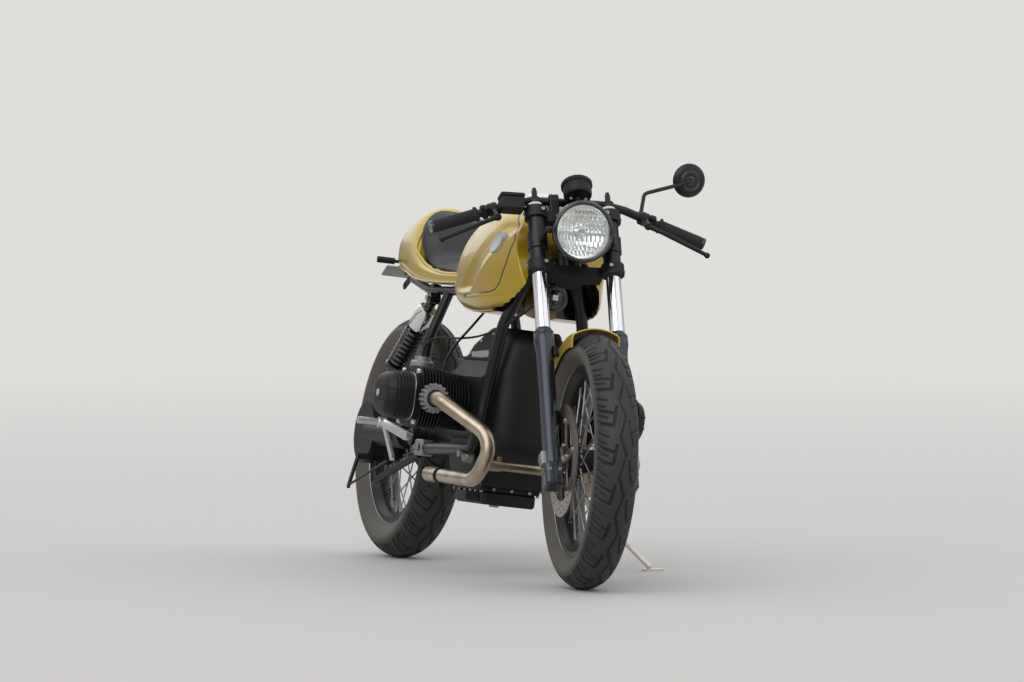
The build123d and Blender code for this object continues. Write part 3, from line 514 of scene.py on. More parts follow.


# %% [markdown]
# ## Finishes
# One finish for each kind of surface that the photograph shows. The tank's paint takes a painted shade, going dark
# in the gap round its knee panel, in its tunnel and on the wall at the back of the hollow, and the tyres' rubber takes
# a painted shade in the grooves and is dusty on the side walls: both read the shade that the piece keeps at each
# point.

# %% Finishes
body_paint = finish("body paint", seen(184, 158, 40), 0.34, metallic=0.4, coat=0.7)
tank_yellow = seen(178, 147, 26)
tank_paint = finish("tank paint", tank_yellow, 0.32, metallic=0.45, coat=0.7)
fender_paint = finish("fender paint", seen(192, 162, 34), 0.34, metallic=0.35, coat=0.8)
satin_black = finish("satin black", seen(15, 15, 17), 0.38, coat=0.12, vary=0.05)
engine_black = finish("engine black", seen(17, 17, 18), 0.5, vary=0.08, bump=0.00012, scale=420)
alloy = finish("machined alloy", seen(226, 226, 227), 0.3, metallic=0.9, vary=0.08)
cast_alloy = finish("cast alloy", seen(150, 150, 150), 0.5, metallic=0.8, vary=0.1)
pipe_steel = finish("heat tinted steel", seen(186, 172, 154), 0.3, metallic=1.0, vary=0.07, scale=14,
                    second=seen(156, 140, 120))
chrome = finish("chrome", seen(228, 228, 230), 0.05, metallic=1.0)
axle_steel = finish("axle steel", seen(170, 168, 164), 0.35, metallic=1.0)
label_steel = finish("label steel", seen(176, 176, 178), 0.4, metallic=0.5)
plastic = finish("black plastic", seen(14, 14, 15), 0.5, vary=0.05)
gloss_black = finish("gloss black", seen(14, 14, 16), 0.14, coat=0.6)
rubber = finish("grip rubber", seen(34, 34, 35), 0.7, vary=0.1)
hide = finish("pad hide", seen(32, 32, 36), 0.46, vary=0.06, bump=0.0001, scale=900)
rim_black = finish("rim black", seen(44, 42, 40), 0.35, metallic=0.6)
spoke_steel = finish("spoke steel", seen(156, 156, 156), 0.35, metallic=1.0)
disc_steel = finish("disc steel", seen(170, 161, 150), 0.32, metallic=1.0, vary=0.08)
stand_steel = finish("stand steel", seen(214, 209, 203), 0.4, metallic=0.7)
leg_paint = finish("fork leg paint", seen(40, 44, 56), 0.24, metallic=0.4, coat=0.4, vary=0.04)
reflector = finish("lamp reflector", seen(250, 250, 247), 0.14, metallic=1.0)
lamp_glass = finish("lamp glass", seen(240, 243, 245), 0.03)
shader_of(lamp_glass)["Transmission Weight"].default_value = 1.0
shader_of(lamp_glass)["IOR"].default_value = 1.2
for dark in (satin_black, engine_black, plastic, rubber):
    shader_of(dark)["Specular IOR Level"].default_value = 0.35

# Painted shade: where the piece's shade is 1 the tank's yellow turns nearly black, in the gap round the knee panel,
# inside the tunnel and on the wall at the back of the hollow.
tree = tank_paint.node_tree
wire(tree, (mixed(tree, shade_in(tree), tank_yellow, seen(12, 10, 5)), shader_of(tank_paint)["Base Color"]))

clean_rubber = seen(36, 35, 34)
tyre_rubber = finish("tyre rubber", clean_rubber, 0.55, vary=0.08, scale=60)
tree = tyre_rubber.node_tree
# The shade runs from -1 to 1: road dust on the side walls at -1, clean rubber at 0, and painted shade that goes nearly
# black in the bottoms of the grooves towards 1.
span = add(tree, "MapRange", From_Min=-1)
dust_to_painted_groove_shade = [(0.0, seen(74, 70, 64)), (0.48, clean_rubber), (0.52, clean_rubber), (0.6, seen(16, 16, 15)),
                  (1.0, seen(7, 7, 7))]
wire(tree, (shade_in(tree), span.inputs["Value"]),
     (ramp_through(tree, span.outputs["Result"], dust_to_painted_groove_shade), shader_of(tyre_rubber)["Base Color"]))

# %% [markdown]
# ## Finishes of the solids
# A solid that no drawn piece stands for is shown as it is. It takes the finish of its slot in the record, and its
# edges of more than 30 degrees stay crisp.

# %% Finishes of the solids
by_slot = {
    "body_paint": body_paint, "black_paint": satin_black, "engine_black": engine_black, "cast_aluminium": alloy,
    "pipe_steel": pipe_steel, "chrome": chrome, "axle_steel": axle_steel, "black_plastic": plastic,
    "lamp_black": gloss_black, "lamp_glass": lamp_glass, "grip_rubber": rubber, "caliper_black": engine_black,
    "pad_leather": hide, "tyre": tyre_rubber, "rim_black": rim_black, "spoke_steel": spoke_steel,
    "hub_black": engine_black, "disc_steel": disc_steel, "stand_steel": stand_steel,
}
slots = {row["node"]: row["material_slot"] for row in frame["record"]["subparts"]}
for node, solid in frame["nodes"].items():
    solid.data.materials.clear()
    solid.data.materials.append(by_slot[slots[node]])
    solid.data.shade_smooth()
    solid.data.set_sharp_from_angle(angle=np.radians(30))
print("materials on", len(slots), "nodes")

# %% [markdown]
# ## Tyres
# A road tyre is a carcass under a moulded tread. The crown is one arc from shoulder to shoulder, and the side
# wall curves in to the bead that sits on the rim. The mould presses a short pattern of grooves again and again
# round the tyre, so one repeat is drawn as a few strokes.

# %% Tread pattern
# width, depth, points as (across, along) in millimetres; across is to the rider's left, along is up at the front
tread_strokes = [
    (4.4, 3.6, [(1, -31), (15, 18), (16, 26), (2, 68)]),
    (4.6, 3.8, [(-66, 58), (-50, 44), (-13, 31)]),
    (4.2, 3.6, [(-9, 50), (-12, 30), (-18, 0)]),
    (4.6, 3.8, [(-66, 20), (-50, 8), (-18, 0)]),
    (3.4, 2.6, [(-64, -12), (-50, -22), (-32, -30)]),
    (4.2, 3.6, [(25, 13), (29, -16), (37, -50)]),
    (4.6, 3.8, [(30, -20), (45, -8), (66, 6)]),
    (4.6, 3.8, [(37, -50), (50, -38), (66, -24)]),
    (3.4, 2.6, [(40, 22), (52, 32), (64, 40)]),
    (3.4, 2.6, [(-64, 38), (-50, 28), (-34, 22)]),
    (3.4, 2.6, [(-64, -32), (-52, -42), (-38, -48)]),
    (3.4, 2.6, [(46, -26), (56, -18), (66, -10)]),
]


def tread_depth(across, along, repeat):
    """Depth of the pattern at each point. The distance d to a stroke is the least distance to its segments,
    |p - a - clip((p - a).(b - a) / |b - a|^2, 0, 1) (b - a)|, and the groove is
    depth * clip(1.8 - 2 d / width, 0, 1)."""
    p = np.stack([across, along], -1)
    deepest = np.zeros(across.shape)
    for width, depth, stroke in tread_strokes:
        stroke = np.array(stroke, float)
        for a, b in zip(stroke, stroke[1:]):
            for shift in (-repeat, 0, repeat):
                start = a + (0, shift)
                t = np.clip(((p - start) @ (b - a)) / ((b - a) @ (b - a)), 0, 1)
                distance = np.linalg.norm(p - start - t[..., None] * (b - a), axis=-1)
                deepest = np.maximum(deepest, depth * np.clip(1.8 - 2 * distance / width, 0, 1))
    return deepest


# %% [markdown]
# ## Tyre surface
# The pattern is laid out 20 times round the tyre. The grooves are cut into the surface itself: each point goes
# inwards by how near it lies to a stroke, and the bottom of each groove gets a painted shade.


# %% Tyre surface
def tyre_section(radius, width, seat_half, bead=232.0, flange=243.0, drop=39.0):
    """Half of the outline as (across, radius, arc length from the crown): an arc of radius (w^2 / 4 + d^2) / 2 d with
    its top at the crown, then a cubic curve B(t) from the shoulder to the bead."""
    crown = ((width / 2) ** 2 + drop ** 2) / (2 * drop)
    limit = np.arcsin(width / 2 / crown)
    angle = np.linspace(0, limit, 39)
    arc = np.stack([crown * np.sin(angle), radius - crown + crown * np.cos(angle)], 1)
    ends = np.array([arc[-1], arc[-1] + 13 * np.array([np.cos(limit), -np.sin(limit)]),
                     (seat_half + 17, flange + 10), (seat_half + 6, flange + 1)])
    t = np.linspace(0, 1, 13)[1:, None]
    wall = (1 - t) ** 3 * ends[0] + 3 * t * (1 - t) ** 2 * ends[1] + 3 * t ** 2 * (1 - t) * ends[2] + t ** 3 * ends[3]
    half = np.concatenate([arc, wall, [(seat_half, flange - 1), (seat_half - 1, bead)]])
    return half[:, 0], half[:, 1], distances(half)


def tyre(radius, width, repeats=20, columns=40):
    """The section turned about the axle, with the tread pressed in along the section's own normal. Returns points,
    faces and a shade: painted shade up to 1 in the bottom of a groove, and -1 where road dust lies on the side wall."""
    x, r, length = tyre_section(radius, width, width * 0.27)
    x, r, across = np.r_[-x[:0:-1], x], np.r_[r[:0:-1], r], np.r_[-length[:0:-1], length]
    step = np.gradient(np.stack([x, r], 1), axis=0)
    normal = unit(np.stack([-step[:, 1], step[:, 0]], 1))
    repeat = 2 * np.pi * radius / repeats
    along = np.arange(columns) * repeat / columns
    depth = np.tile(tread_depth(*np.meshgrid(across, along, indexing="ij"), repeat), (1, repeats))
    depth *= np.clip((width * 0.58 - np.abs(across)) / 5, 0, 1)[:, None]
    rings = np.exp(-((np.abs(across)[:, None] - (np.abs(across).max() - np.array([14, 19, 44]))) / 1.6) ** 2).sum(1)
    out = -depth + 0.7 * rings[:, None]
    t = np.arange(columns * repeats) * 2 * np.pi / (columns * repeats)
    px, pr = x[:, None] + out * normal[:, :1], r[:, None] + out * normal[:, 1:]
    points = np.stack([px, -pr * np.cos(t), pr * np.sin(t)], -1)
    dust = np.clip((np.abs(across) - width * 0.52) / 18, 0, 1)[:, None] * np.ones(len(t))
    # painted shade in the grooves, darker the deeper they are; road dust on the side walls as -1
    shade = np.where(depth > 0, np.clip(depth / 1.5, 0, 1), -dust)
    return grid(points, wrap_rows=True, wrap_columns=True), shade.reshape(-1)


front_shape, front_shade = tyre(front_radius, 110.0)
rear_shape, rear_shade = tyre(rear_radius, 125.0)
on_wheel("front_road_tyre", front_shape, "front_wheel", tyre_rubber, ["front_tyre"], shade=front_shade)
on_wheel("rear_road_tyre", rear_shape, "rear_wheel", tyre_rubber, ["rear_tyre"], shade=rear_shade)

# %% [markdown]
# ## Rims
# The rims are rolled from one strip: a drop centre, two seats for the beads, and a rolled edge outside each seat.


# %% Rims
def rolled_rim(seat_half, bead=232.0, flange=243.0, inner=214.0, wall=4.0):
    """Closed outline of (across, radius) for the strip: its outer face, then the same line moved in by the wall."""
    well = seat_half * 0.55
    half = np.array([
        (0, inner), (well, inner), (well + 6, inner + 3), (seat_half - 1, bead - wall - 2),
        (seat_half + wall, bead - wall + 1), (seat_half + wall + 0.6, flange - 2),
        (seat_half + wall - 1.4, flange + 0.6), (seat_half + 0.4, flange - 1), (seat_half, bead),
        (seat_half - 5, bead - 1), (well, inner + wall), (0, inner + wall),
    ])
    return np.concatenate([half, (half * (-1, 1))[::-1][1:-1]])


# %% [markdown]
# ## Spoke nipples
# Forty thin spokes cross from both hub flanges of each wheel. They are the assembly's own, and each gets a nipple
# at the rim and a small head at its flange here.


# %% Spoke nipples
def nipples(hub_radius, flange_x, radius=214.0, count=20):
    """A short turned sleeve at the rim end of each spoke and a small head at its hub end."""
    made = []
    for side in (-1, 1):
        index = np.arange(count)
        at_hub = np.radians(index * 360 / count + side * 4.5)
        at_rim = at_hub + np.radians(np.where(index % 2, 38, -38))
        hub = np.c_[np.full(count, side * flange_x), hub_radius * np.sin(at_hub), hub_radius * np.cos(at_hub)]
        rim = np.c_[np.full(count, side * 6), (radius + 3) * np.sin(at_rim), (radius + 3) * np.cos(at_rim)]
        for start, end in zip(hub, rim):
            made.append(lathe([(-24, 0.5), (-23, 3.0), (-4, 3.4), (-3, 4.6), (0, 4.6), (2, 3)], end, end - start, 8))
            made.append(lathe([(-5, 1), (-5, 4.2), (-2, 4.2), (1, 2.6)], start, end - start, 8))
    return joined(*made)


for place, width, hub_radius, flange_x, node in (
    ("front_wheel", 110.0, 52.0, 33.0, "front_rim"), ("rear_wheel", 125.0, 78.0, 36.0, "rear_rim"),
):
    label = node.split("_")[0]
    outline = rolled_rim(width * 0.27)
    on_wheel(label + "_rolled_rim", lathe(outline, (0, 0, 0), X, 144, loop=True), place, rim_black, [node])
    t = full_turn(8)
    lips = [lathe(np.c_[3.2 * np.sin(t) + side * (width * 0.27 + 2.2), 243.3 + 1.5 * np.cos(t)],
                  (0, 0, 0), X, 144, loop=True) for side in (-1, 1)]
    on_wheel(label + "_bright_rim_lips", lips, place, spoke_steel)
    on_wheel(label + "_spoke_nipples", nipples(hub_radius, flange_x), place, spoke_steel)

# %% [markdown]
# ## Drilled ring
# The friction ring of a disc is drilled right through. Its faces are laid out as rows of cells round the axle, and a
# drilled cell has a hole with a wall in it.


# %% Drilled ring
def ring_of_holes(inner, outer, thickness, rows, cells, holes, hole_radius):
    """A flat ring of rows x cells cells. Each cell is an octagon round its four corners and four mid-sides, and where
    holes is true it is joined to a smaller octagon instead of being filled."""
    a = np.linspace(inner, outer, 2 * rows + 1)[:, None]
    t = np.arange(2 * cells) * np.pi / cells
    flat = np.stack([a * np.cos(t), a * np.sin(t)], -1)
    i, j = [k.reshape(-1) for k in np.meshgrid(np.arange(rows) * 2, np.arange(cells) * 2, indexing="ij")]
    around = [(0, 0), (0, 1), (0, 2), (1, 2), (2, 2), (2, 1), (2, 0), (1, 0)]
    octagon = np.stack([(i + di) * 2 * cells + (j + dj) % (2 * cells) for di, dj in around], 1)
    points = flat.reshape(-1, 2)
    open_cells = holes.reshape(-1)
    faces = octagon[~open_cells].tolist()
    middle = flat[i + 1, j + 1][open_cells]
    outward = unit(points[octagon[open_cells]] - middle[:, None])
    rim_points = (middle[:, None] + hole_radius * outward).reshape(-1, 2)
    start = len(points)
    hole = start + np.arange(len(rim_points)).reshape(-1, 8)
    big = octagon[open_cells]
    faces += np.stack([big, np.roll(big, -1, 1), np.roll(hole, -1, 1), hole], -1).reshape(-1, 4).tolist()
    points = np.concatenate([points, rim_points])
    count = len(points)
    both = np.concatenate([np.c_[np.full(count, k * thickness / 2), points] for k in (-1, 1)])
    walls = [np.stack([hole, np.roll(hole, -1, 1)], -1).reshape(-1, 2)]
    for row in (0, 2 * rows):
        edge = row * 2 * cells + np.arange(2 * cells)
        walls.append(np.stack([edge, np.roll(edge, -1)], -1))
    walls = np.concatenate(walls)
    sides = np.c_[walls, walls[:, ::-1] + count].tolist()
    return both, faces + [[k + count for k in face][::-1] for face in faces] + sides


def shifted(shape, at):
    """A shape moved by a vector."""
    return shape[0] + np.asarray(at, float), shape[1]


# %% [markdown]
# ## Front discs and hubs
# Each disc is a ring of 5 x 60 cells. In the four inner rows every third, sixth or twelfth cell is drilled, which
# gives the sloping rows of holes. Five arms hold the ring to its centre, and a button joins each arm to it.

# %% Discs and hubs
disc_x, disc_thickness, arm_thickness, screw_x = 66.5, 5.0, 4.4, 69
arm_angles = np.radians(np.arange(5) * 72 + 18)
holes = np.zeros((5, 60), bool)
cell = np.arange(60)
for row, every, first in ((0, 12, 9), (1, 6, 1), (2, 6, 3), (3, 6, 5), (3, 6, 2)):
    holes[row, cell % every == first] = True
web = rounded([(34, -22), (84, -9), (107, -15), (107, 15), (84, 9), (34, 22)], [4, 14, 3, 3, 14, 4])
discs = []
for side in (-1, 1):
    discs.append(shifted(ring_of_holes(102.5, 142.5, disc_thickness, 5, 60, holes, 3.4), (side * disc_x, 0, 0)))
    for t in arm_angles:
        out, round_way = np.array([0, np.cos(t), np.sin(t)]), np.array([0, -np.sin(t), np.cos(t)])
        arm_at = (side * disc_x - arm_thickness / 2 * side, 0, 0)
        discs.append(slab(web, arm_at, out, round_way * side, arm_thickness, 0.6))
    discs.append(lathe([(-2.4, 13), (-2.4, 46), (2.4, 46), (2.4, 13)], (side * disc_x, 0, 0), X, 48, loop=True))
on_wheel("drilled_brake_discs", discs, "front_wheel", disc_steel, ["front_discs"], sharp=30)
disc_screws = [
    screw((side * screw_x, radius * np.cos(t), radius * np.sin(t)), (side, 0, 0), diameter, height)
    for radius, diameter, height in ((38, 11, 5), (100, 15, 3)) for side in (-1, 1) for t in arm_angles
]
on_wheel("disc_bolts_and_buttons", disc_screws, "front_wheel", axle_steel)
hub_profile = [
    (-63, 9.5), (-63, 38), (-60, 41), (-41, 41), (-40, 51), (-38, 53), (-30, 53), (-28, 50), (-24, 36), (-14, 31),
    (14, 31), (24, 36), (28, 50), (30, 53), (38, 53), (40, 51), (41, 41), (60, 41), (63, 38), (63, 9.5),
]
on_wheel("front_hub_barrel", lathe(hub_profile, (0, 0, 0), X, 64, loop=True), "front_wheel",
         engine_black, ["front_hub"])
rear_profile = [
    (-52, 10.5), (-52, 66), (-49, 70), (-42, 70), (-41, 77), (-39, 79), (-33, 79), (-31, 76), (-27, 64), (-10, 58),
    (12, 50), (24, 46), (31, 60), (32, 77), (34, 79), (40, 79), (42, 77), (42, 34), (56, 30), (60, 26), (60, 10.5),
]
on_wheel("rear_brake_hub", lathe(rear_profile, (0, 0, 0), X, 64, loop=True), "rear_wheel",
         engine_black, ["rear_hub"])

# %% [markdown]
# ## Fork
# A telescopic fork has two hard-chromed tubes that slide in two cast legs. Each leg is turned for most of its length,
# swells into a collar that holds the seal, and is cast square at the foot, where a bright block is pinched round the
# axle. The upper tubes end in hexagon caps with a small adjuster.

# %% Fork legs and tubes
leg_x = 97.5


def on_leg(side, shape_profile, steps=40):
    """A profile of (height, radius) turned about a fork leg's own line."""
    return lathe(shape_profile, (side * leg_x, -fork_offset, 0), Z, steps, hint=Y)


tubes, legs, collars, feet = [], [], [], []
for side in (-1, 1):
    tubes.append(on_leg(side, [(352, 17), (352, 19.25), (735, 19.25), (737, 18)]))
    collars.append(on_leg(side, [(736, 18.5), (737, 20.5), (741, 21), (742, 20), (742, 16)]))
    collars.append(lathe([(742, 15), (743, 17), (752, 17), (754, 14), (754, 7.5), (776, 7.5), (778, 6), (783, 5.5)],
                         (side * leg_x, -fork_offset, 0), Z, 6))
    legs.append(on_leg(side, [
        (-40, 12), (-34, 19), (-22, 23), (20, 23.5), (26, 22.4), (300, 22.4), (318, 23.5), (330, 25.6), (335, 26.5),
        (352, 26.5), (354, 25.4), (356, 26.5), (362, 26), (365, 23.5), (365, 20), (361, 19.4),
    ]))
    legs.append(on_leg(side, [(362, 19.3), (362, 22.5), (367, 22), (371, 20.2), (371, 19.3)]))
    foot = rounded([(-23, -27), (23, -27), (23, 27), (-23, 27)], 10)
    legs.append(slab(foot + (side * leg_x, -fork_offset), (0, 0, -78), X, Y, 64, 5))
    legs.append(block((side * leg_x, -fork_offset + 24, 150), (16, 18, 120), radius=5, edge=4))
    legs.append(block((side * leg_x, -fork_offset, -30), (50, 52, 26), radius=10, edge=3))
    feet.append(bar((side * 66.5, -fork_offset, 0), (side * (leg_x - 21), -fork_offset, 0), 30, 28, 1))
    feet.append(block((side * 119, -fork_offset, 0), (17, 30, 36), radius=3, edge=1.5))
    feet.append(lathe([(0, 9), (3, 9), (3, 6), (-2, 5.6), (-2, 0.01)],
                      (side * 127.5, -fork_offset, 0), (side, 0, 0), 24))
    feet += [screw((side * leg_x + dx, -fork_offset - 26, -38), (0, -1, 0), 9, 4) for dx in (-13, 13)]
on_fork("bright_fork_tubes", tubes, chrome, ["stanchions"])
on_fork("fork_caps", collars, satin_black)
on_fork("cast_fork_leg_right", legs[:len(legs) // 2], leg_paint, ["fork_leg_right"])
on_fork("cast_fork_leg_left", legs[len(legs) // 2:], leg_paint, ["fork_leg_left"])
on_fork("axle_blocks", feet, cast_alloy)

# %% [markdown]
# ## Clamp bolts
# Socket screws pinch both clamps round the fork tubes, two pairs hold the bar, and a large nut closes the steering
# stem.

# %% Clamp bolts
pinch = []
for side in (-1, 1):
    for height in (554, 707):
        pinch.append(screw((side * (leg_x - 12), -fork_offset - 29, height), (0, -1, 0), 10, 6))
        pinch.append(screw((side * (leg_x + 29), -fork_offset + 2, height), (side, 0, 0), 9, 4))
    for dx in (-8, 8):
        pinch += [screw((side * 42 + dx, y, 775), Z, 8, 5) for y in (-41, -19)]
pinch.append(nut((0, 0, 736), Z, 30, 9))
pinch.append(lathe([(0, 16), (2, 17), (4, 17), (5, 15)], (0, 0, 735), Z, 32))
on_fork("clamp_bolts", pinch, axle_steel)

# %% [markdown]
# ## Front fender
# The short fender is one pressed sheet: a crowned top with a soft shoulder, straight skirts, and an edge rolled
# round a wire so that the sheet is stiff and its rim isn't sharp. Two pegs with bolts hold it to the fork legs.

# %% Front fender
fender_radius = front_radius + 15.0
fender_from, fender_to = 0.6, 61.5  # degrees round the axle, back from the top


def along_arc(section, start, end, steps, radius):
    """A section of (across, height) carried round the axle: y = (R + h) sin a and z = (R + h) cos a."""
    a = np.radians(np.linspace(start, end, steps))[:, None]
    reach = radius + section[None, :, 1]
    return np.stack([np.broadcast_to(section[None, :, 0], reach.shape[:1] + section.shape[:1]) + 0 * a,
                     reach * np.sin(a), reach * np.cos(a)], -1)


def beside(line, amount):
    """An open 2-D line moved along its own normals."""
    step = np.gradient(line, axis=0)
    return line + amount * unit(np.stack([-step[:, 1], step[:, 0]], 1))


crown_line = run([(-62, 0, -50), (-62, 0, -18), (0, 0, 16), (62, 0, -18), (62, 0, -50)], [13, 114, 13], 3)[:, [0, 2]]
crown_line = np.concatenate([np.linspace((-62, -50), crown_line[1], 5)[:-1], crown_line[1:-1],
                             np.linspace(crown_line[-2], (62, -50), 5)[1:]])
axle_up = (0, 0, front_radius)
section = np.concatenate([beside(crown_line, -0.6), beside(crown_line, -2.5)[::-1]])
fender = skin(along_arc(section, fender_from, fender_to, 60, fender_radius) + axle_up)
edges = [
    tube(along_arc(np.array([[x, -49.0]]), fender_from, fender_to, 60, fender_radius)[:, 0] + axle_up, 5, 10)
    for x in (-60.8, 60.8)
]
for a in (fender_from, fender_to):
    edges.append(tube(along_arc(beside(crown_line, -1.6), a, a, 1, fender_radius)[0] + axle_up, 4.6, 10))
on_steering("pressed_front_fender", [fender, *edges], fender_paint, ["front_fender"], sharp=50)
pegs = []
for side in (-1, 1):
    height = fender_radius - 34
    pegs.append(bar((side * 61, -fork_offset, height), (side * 78, -fork_offset, height), 14))
    pegs.append(block((side * 76, -fork_offset, height), (5, 40, 30), radius=6))
    pegs += [screw((side * 60, -fork_offset + dy, height), (-side, 0, 0), 11, 3) for dy in (-11, 11)]
on_fork("fender_pegs", pegs, plastic)

# %% [markdown]
# ## Headlamp
# A headlamp is a spun bowl with a bright reflector pressed into a rim. The reflector is a paraboloid, y = 42 - 43
# (r / 68.5)^2, broken into small facets.


# %% Headlamp
def upright(x, y, h):
    """A fork place in the upright steered frame: back and up mixed by the rake."""
    return np.array([x, fork_offset * rake_cos + y * rake_cos + h * rake_sin,
                     front_radius - fork_offset * rake_sin - y * rake_sin + h * rake_cos])


lamp = upright(0, -152.0, 611.0)
t = np.linspace(0.1, 1.55, 14)
dome = np.c_[40 + 65 * np.sin(t), 72 * np.cos(t)].tolist()
bowl = [(62, 0.01), (56, 30), (40, 58), (16, 66), (-2, 68.5), (-7, 70), (-9, 73), (-8.5, 76.5), (-6, 79), (-2, 80),
        (10, 80), (12, 79), (13.5, 76), (17, 74), (22, 73), (40, 72)] + dome + [(105, 0.01)]
on_steering("headlamp_bowl", lathe(bowl, lamp, Y, 96), gloss_black, ["headlamp_shell"])
around = full_turn(256)
r = np.linspace(9, 68.5, 60)[:, None]
mx, mz = r * np.cos(around), r * np.sin(around)
row = np.floor((mz + 70) / 23)
facets = 1.5 * np.abs(np.sin(np.pi * (mx / 10.5 + 0.5 * (row % 2)))) + 1.2 * np.abs(np.sin(np.pi * mz / 23))
depth = 42 - 43 * (r / 68.5) ** 2 + facets * smooth_step((67 - r) / 8)
bright_face = np.stack([mx, depth, mz], -1)
behind_face = np.stack([mx[::-1], depth[::-1] + 3.5, mz[::-1]], -1)
facet_points, facet_faces = grid(np.concatenate([bright_face, behind_face]), wrap_rows=True, wrap_columns=True)
bulb = [(16, 0.01), (16.5, 8), (20, 9.5), (36, 9.5), (40, 16), (46, 16), (46, 0.01)]
on_steering("lamp_reflector", [(facet_points + lamp, facet_faces), lathe(bulb, lamp, Y, 32)],
            reflector, sharp=20)

# %% [markdown]
# ## Lamp glass and ears
# A thick domed glass closes the lamp, and flutes on its back spread the beam. Two ears from the fork sleeves carry
# the lamp.

# %% Lamp glass and ears
glass_steps = 192
angle = full_turn(glass_steps)
rr = np.linspace(0, 69, 24)[:, None]
gx, gz = rr * np.cos(angle), rr * np.sin(angle)
front_y = -20 + 15 * (rr / 69) ** 2 + 0 * gx
flutes = 0.15 * np.cos(np.pi * gx / 9.0) * np.clip((66 - rr) / 3, 0, 1)
glass_front = np.stack([gx, front_y, gz], -1)
glass_back = np.stack([gx, front_y + 3.4 + flutes, gz], -1)
glass = np.concatenate([glass_front[1:], glass_back[1:][::-1]])
points, faces = grid(glass, wrap_columns=True)
faces += [list(range(glass_steps))[::-1], list(range(len(points) - glass_steps, len(points)))]
on_steering("fluted_lamp_glass", (points + lamp, faces), lamp_glass, ["headlamp_lens"], sharp=30)
ears = []
for side in (-1, 1):
    low, high = upright(side * leg_x, -fork_offset, 569), upright(side * leg_x, -fork_offset, 691)
    ears.append(lathe([(0, 20), (0, 22.4), (31, 22.4), (33, 26.5), (77, 26.5), (79, 22.4), (122, 22.4), (122, 20)],
                      low, high - low, 40, loop=True))
    middle = upright(side * leg_x, -fork_offset, 623)
    ears.append(tube(run([middle + (0, -18, 0), lamp + (side * 88, 40, 2), lamp + (side * 79, 26, 0)], 8), 15))
    ears.append(screw(lamp + (side * 78, 26, 0), (side, 0, 0), 18, 7))
on_steering("lamp_ears", ears, satin_black)

# %% [markdown]
# ## Gauge
# The single gauge sits in a black cup over the top clamp, tipped back towards the rider.

# %% Gauge
gauge_axis = np.array([0, 0.62, 0.78])
gauge_at = upright(6, -104.0, 737.0)
cup = [(0, 0.01), (0, 24), (2, 33), (6, 36), (10, 37), (33, 37), (35, 39.5), (36, 41), (44, 41), (46, 39.5), (46, 37),
       (43, 36.4), (43, 0.01)]
stalk = [upright(0, -30, 730), upright(2, -60, 726), gauge_at + gauge_axis * 4]
on_steering("gauge_cup", [lathe(cup, gauge_at, gauge_axis, 64), tube(run(stalk, 20), 12),
                          bar(gauge_at - gauge_axis * 18, gauge_at, 18, 20, 2)],
            plastic, ["gauge"])
ring = [(45.2, 36.6), (45.2, 40), (46, 39.8), (46, 36.6)]
dots = [screw(gauge_at + gauge_axis * -1.5 + basis(gauge_axis)[1] * d, -gauge_axis, 9, 3) for d in (-19, 19)]
on_steering("gauge_ring_and_screws", [lathe(ring, gauge_at, gauge_axis, 64, loop=True), *dots], alloy)

# %% [markdown]
# ## Grips and levers
# The bar is one bent tube. Rubber grips are moulded with fine rings and end in a turned weight, the levers are
# forged blades with a ball at the tip, and a round clamp carries each switch.

# %% Grips and levers
bar_outer, bar_inner = np.array([357.0, -2.0, 683.0]), np.array([235.0, -14.0, 724.0])
grips, ends, levers, switches = [], [], [], []
for side in (-1, 1):
    mirror = np.array([side, 1, 1])
    outer, inner = bar_outer * mirror, bar_inner * mirror
    way = unit(outer - inner)
    start = outer - way * 122
    ribs = [(s, 15.2 + 1.1 * (k % 2)) for k, s in enumerate(np.arange(12, 118, 2.1))]
    collar = [(0, 11.3), (0, 19), (2, 20.5), (5, 20.5), (7, 17), (11, 15.6)]
    grips.append(lathe(collar + ribs + [(119, 15.6), (122, 15), (122, 11.3)], start, way, 40))
    weight = [(122, 11), (122.4, 15.8), (123.5, 16.5), (128, 16.5), (130, 15), (130, 6), (128, 5)]
    ends.append(lathe(weight, start, way, 40))
    blade = run([mirror * (200, -62, 690), mirror * (238, -70, 668), mirror * (352, -66, 612)], 60, 6)
    taper = np.interp(np.linspace(0, 1, len(blade)), [0, 0.15, 0.8, 1], [14, 11.5, 12.5, 10.5])
    levers.append(tube(blade, taper, 14))
    ball = [(-8, 0.01), (-7.4, 3), (-5.6, 5.6), (-3, 7.3), (0, 8), (3, 7.3), (5.6, 5.6), (7.4, 3), (8, 0.01)]
    levers.append(lathe(ball, mirror * (351, -66, 612), way, 20))
    switches.append(bar(mirror * (200, -19, 735), mirror * (200, -66, 686), 20, 24, 2))
    switches.append(bar(mirror * (189, -20.4, 739.2), mirror * (214, -17, 731), 36, 32, 3))
    switches.append(bar(mirror * (217, -16.6, 730), mirror * (230, -14.8, 725.8), 38, 32, 2.5))
    switches.append(block(mirror * (222, -36, 728), (16, 14, 12), way, Y, 3))
    switches.append(screw(mirror * (196, -50, 716), (0, -0.4, 0.9), 9, 5))
on_fork("ribbed_grips", grips, rubber, ["grips"], sharp=30)
on_fork("bar_end_weights", ends, gloss_black)
on_fork("forged_levers", levers, plastic, ["levers"])
on_fork("switch_clamps", switches, plastic)

# %% [markdown]
# ## Brake reservoir
# The reservoir is a box with a lid and two screws at each side, held level beside the bar.

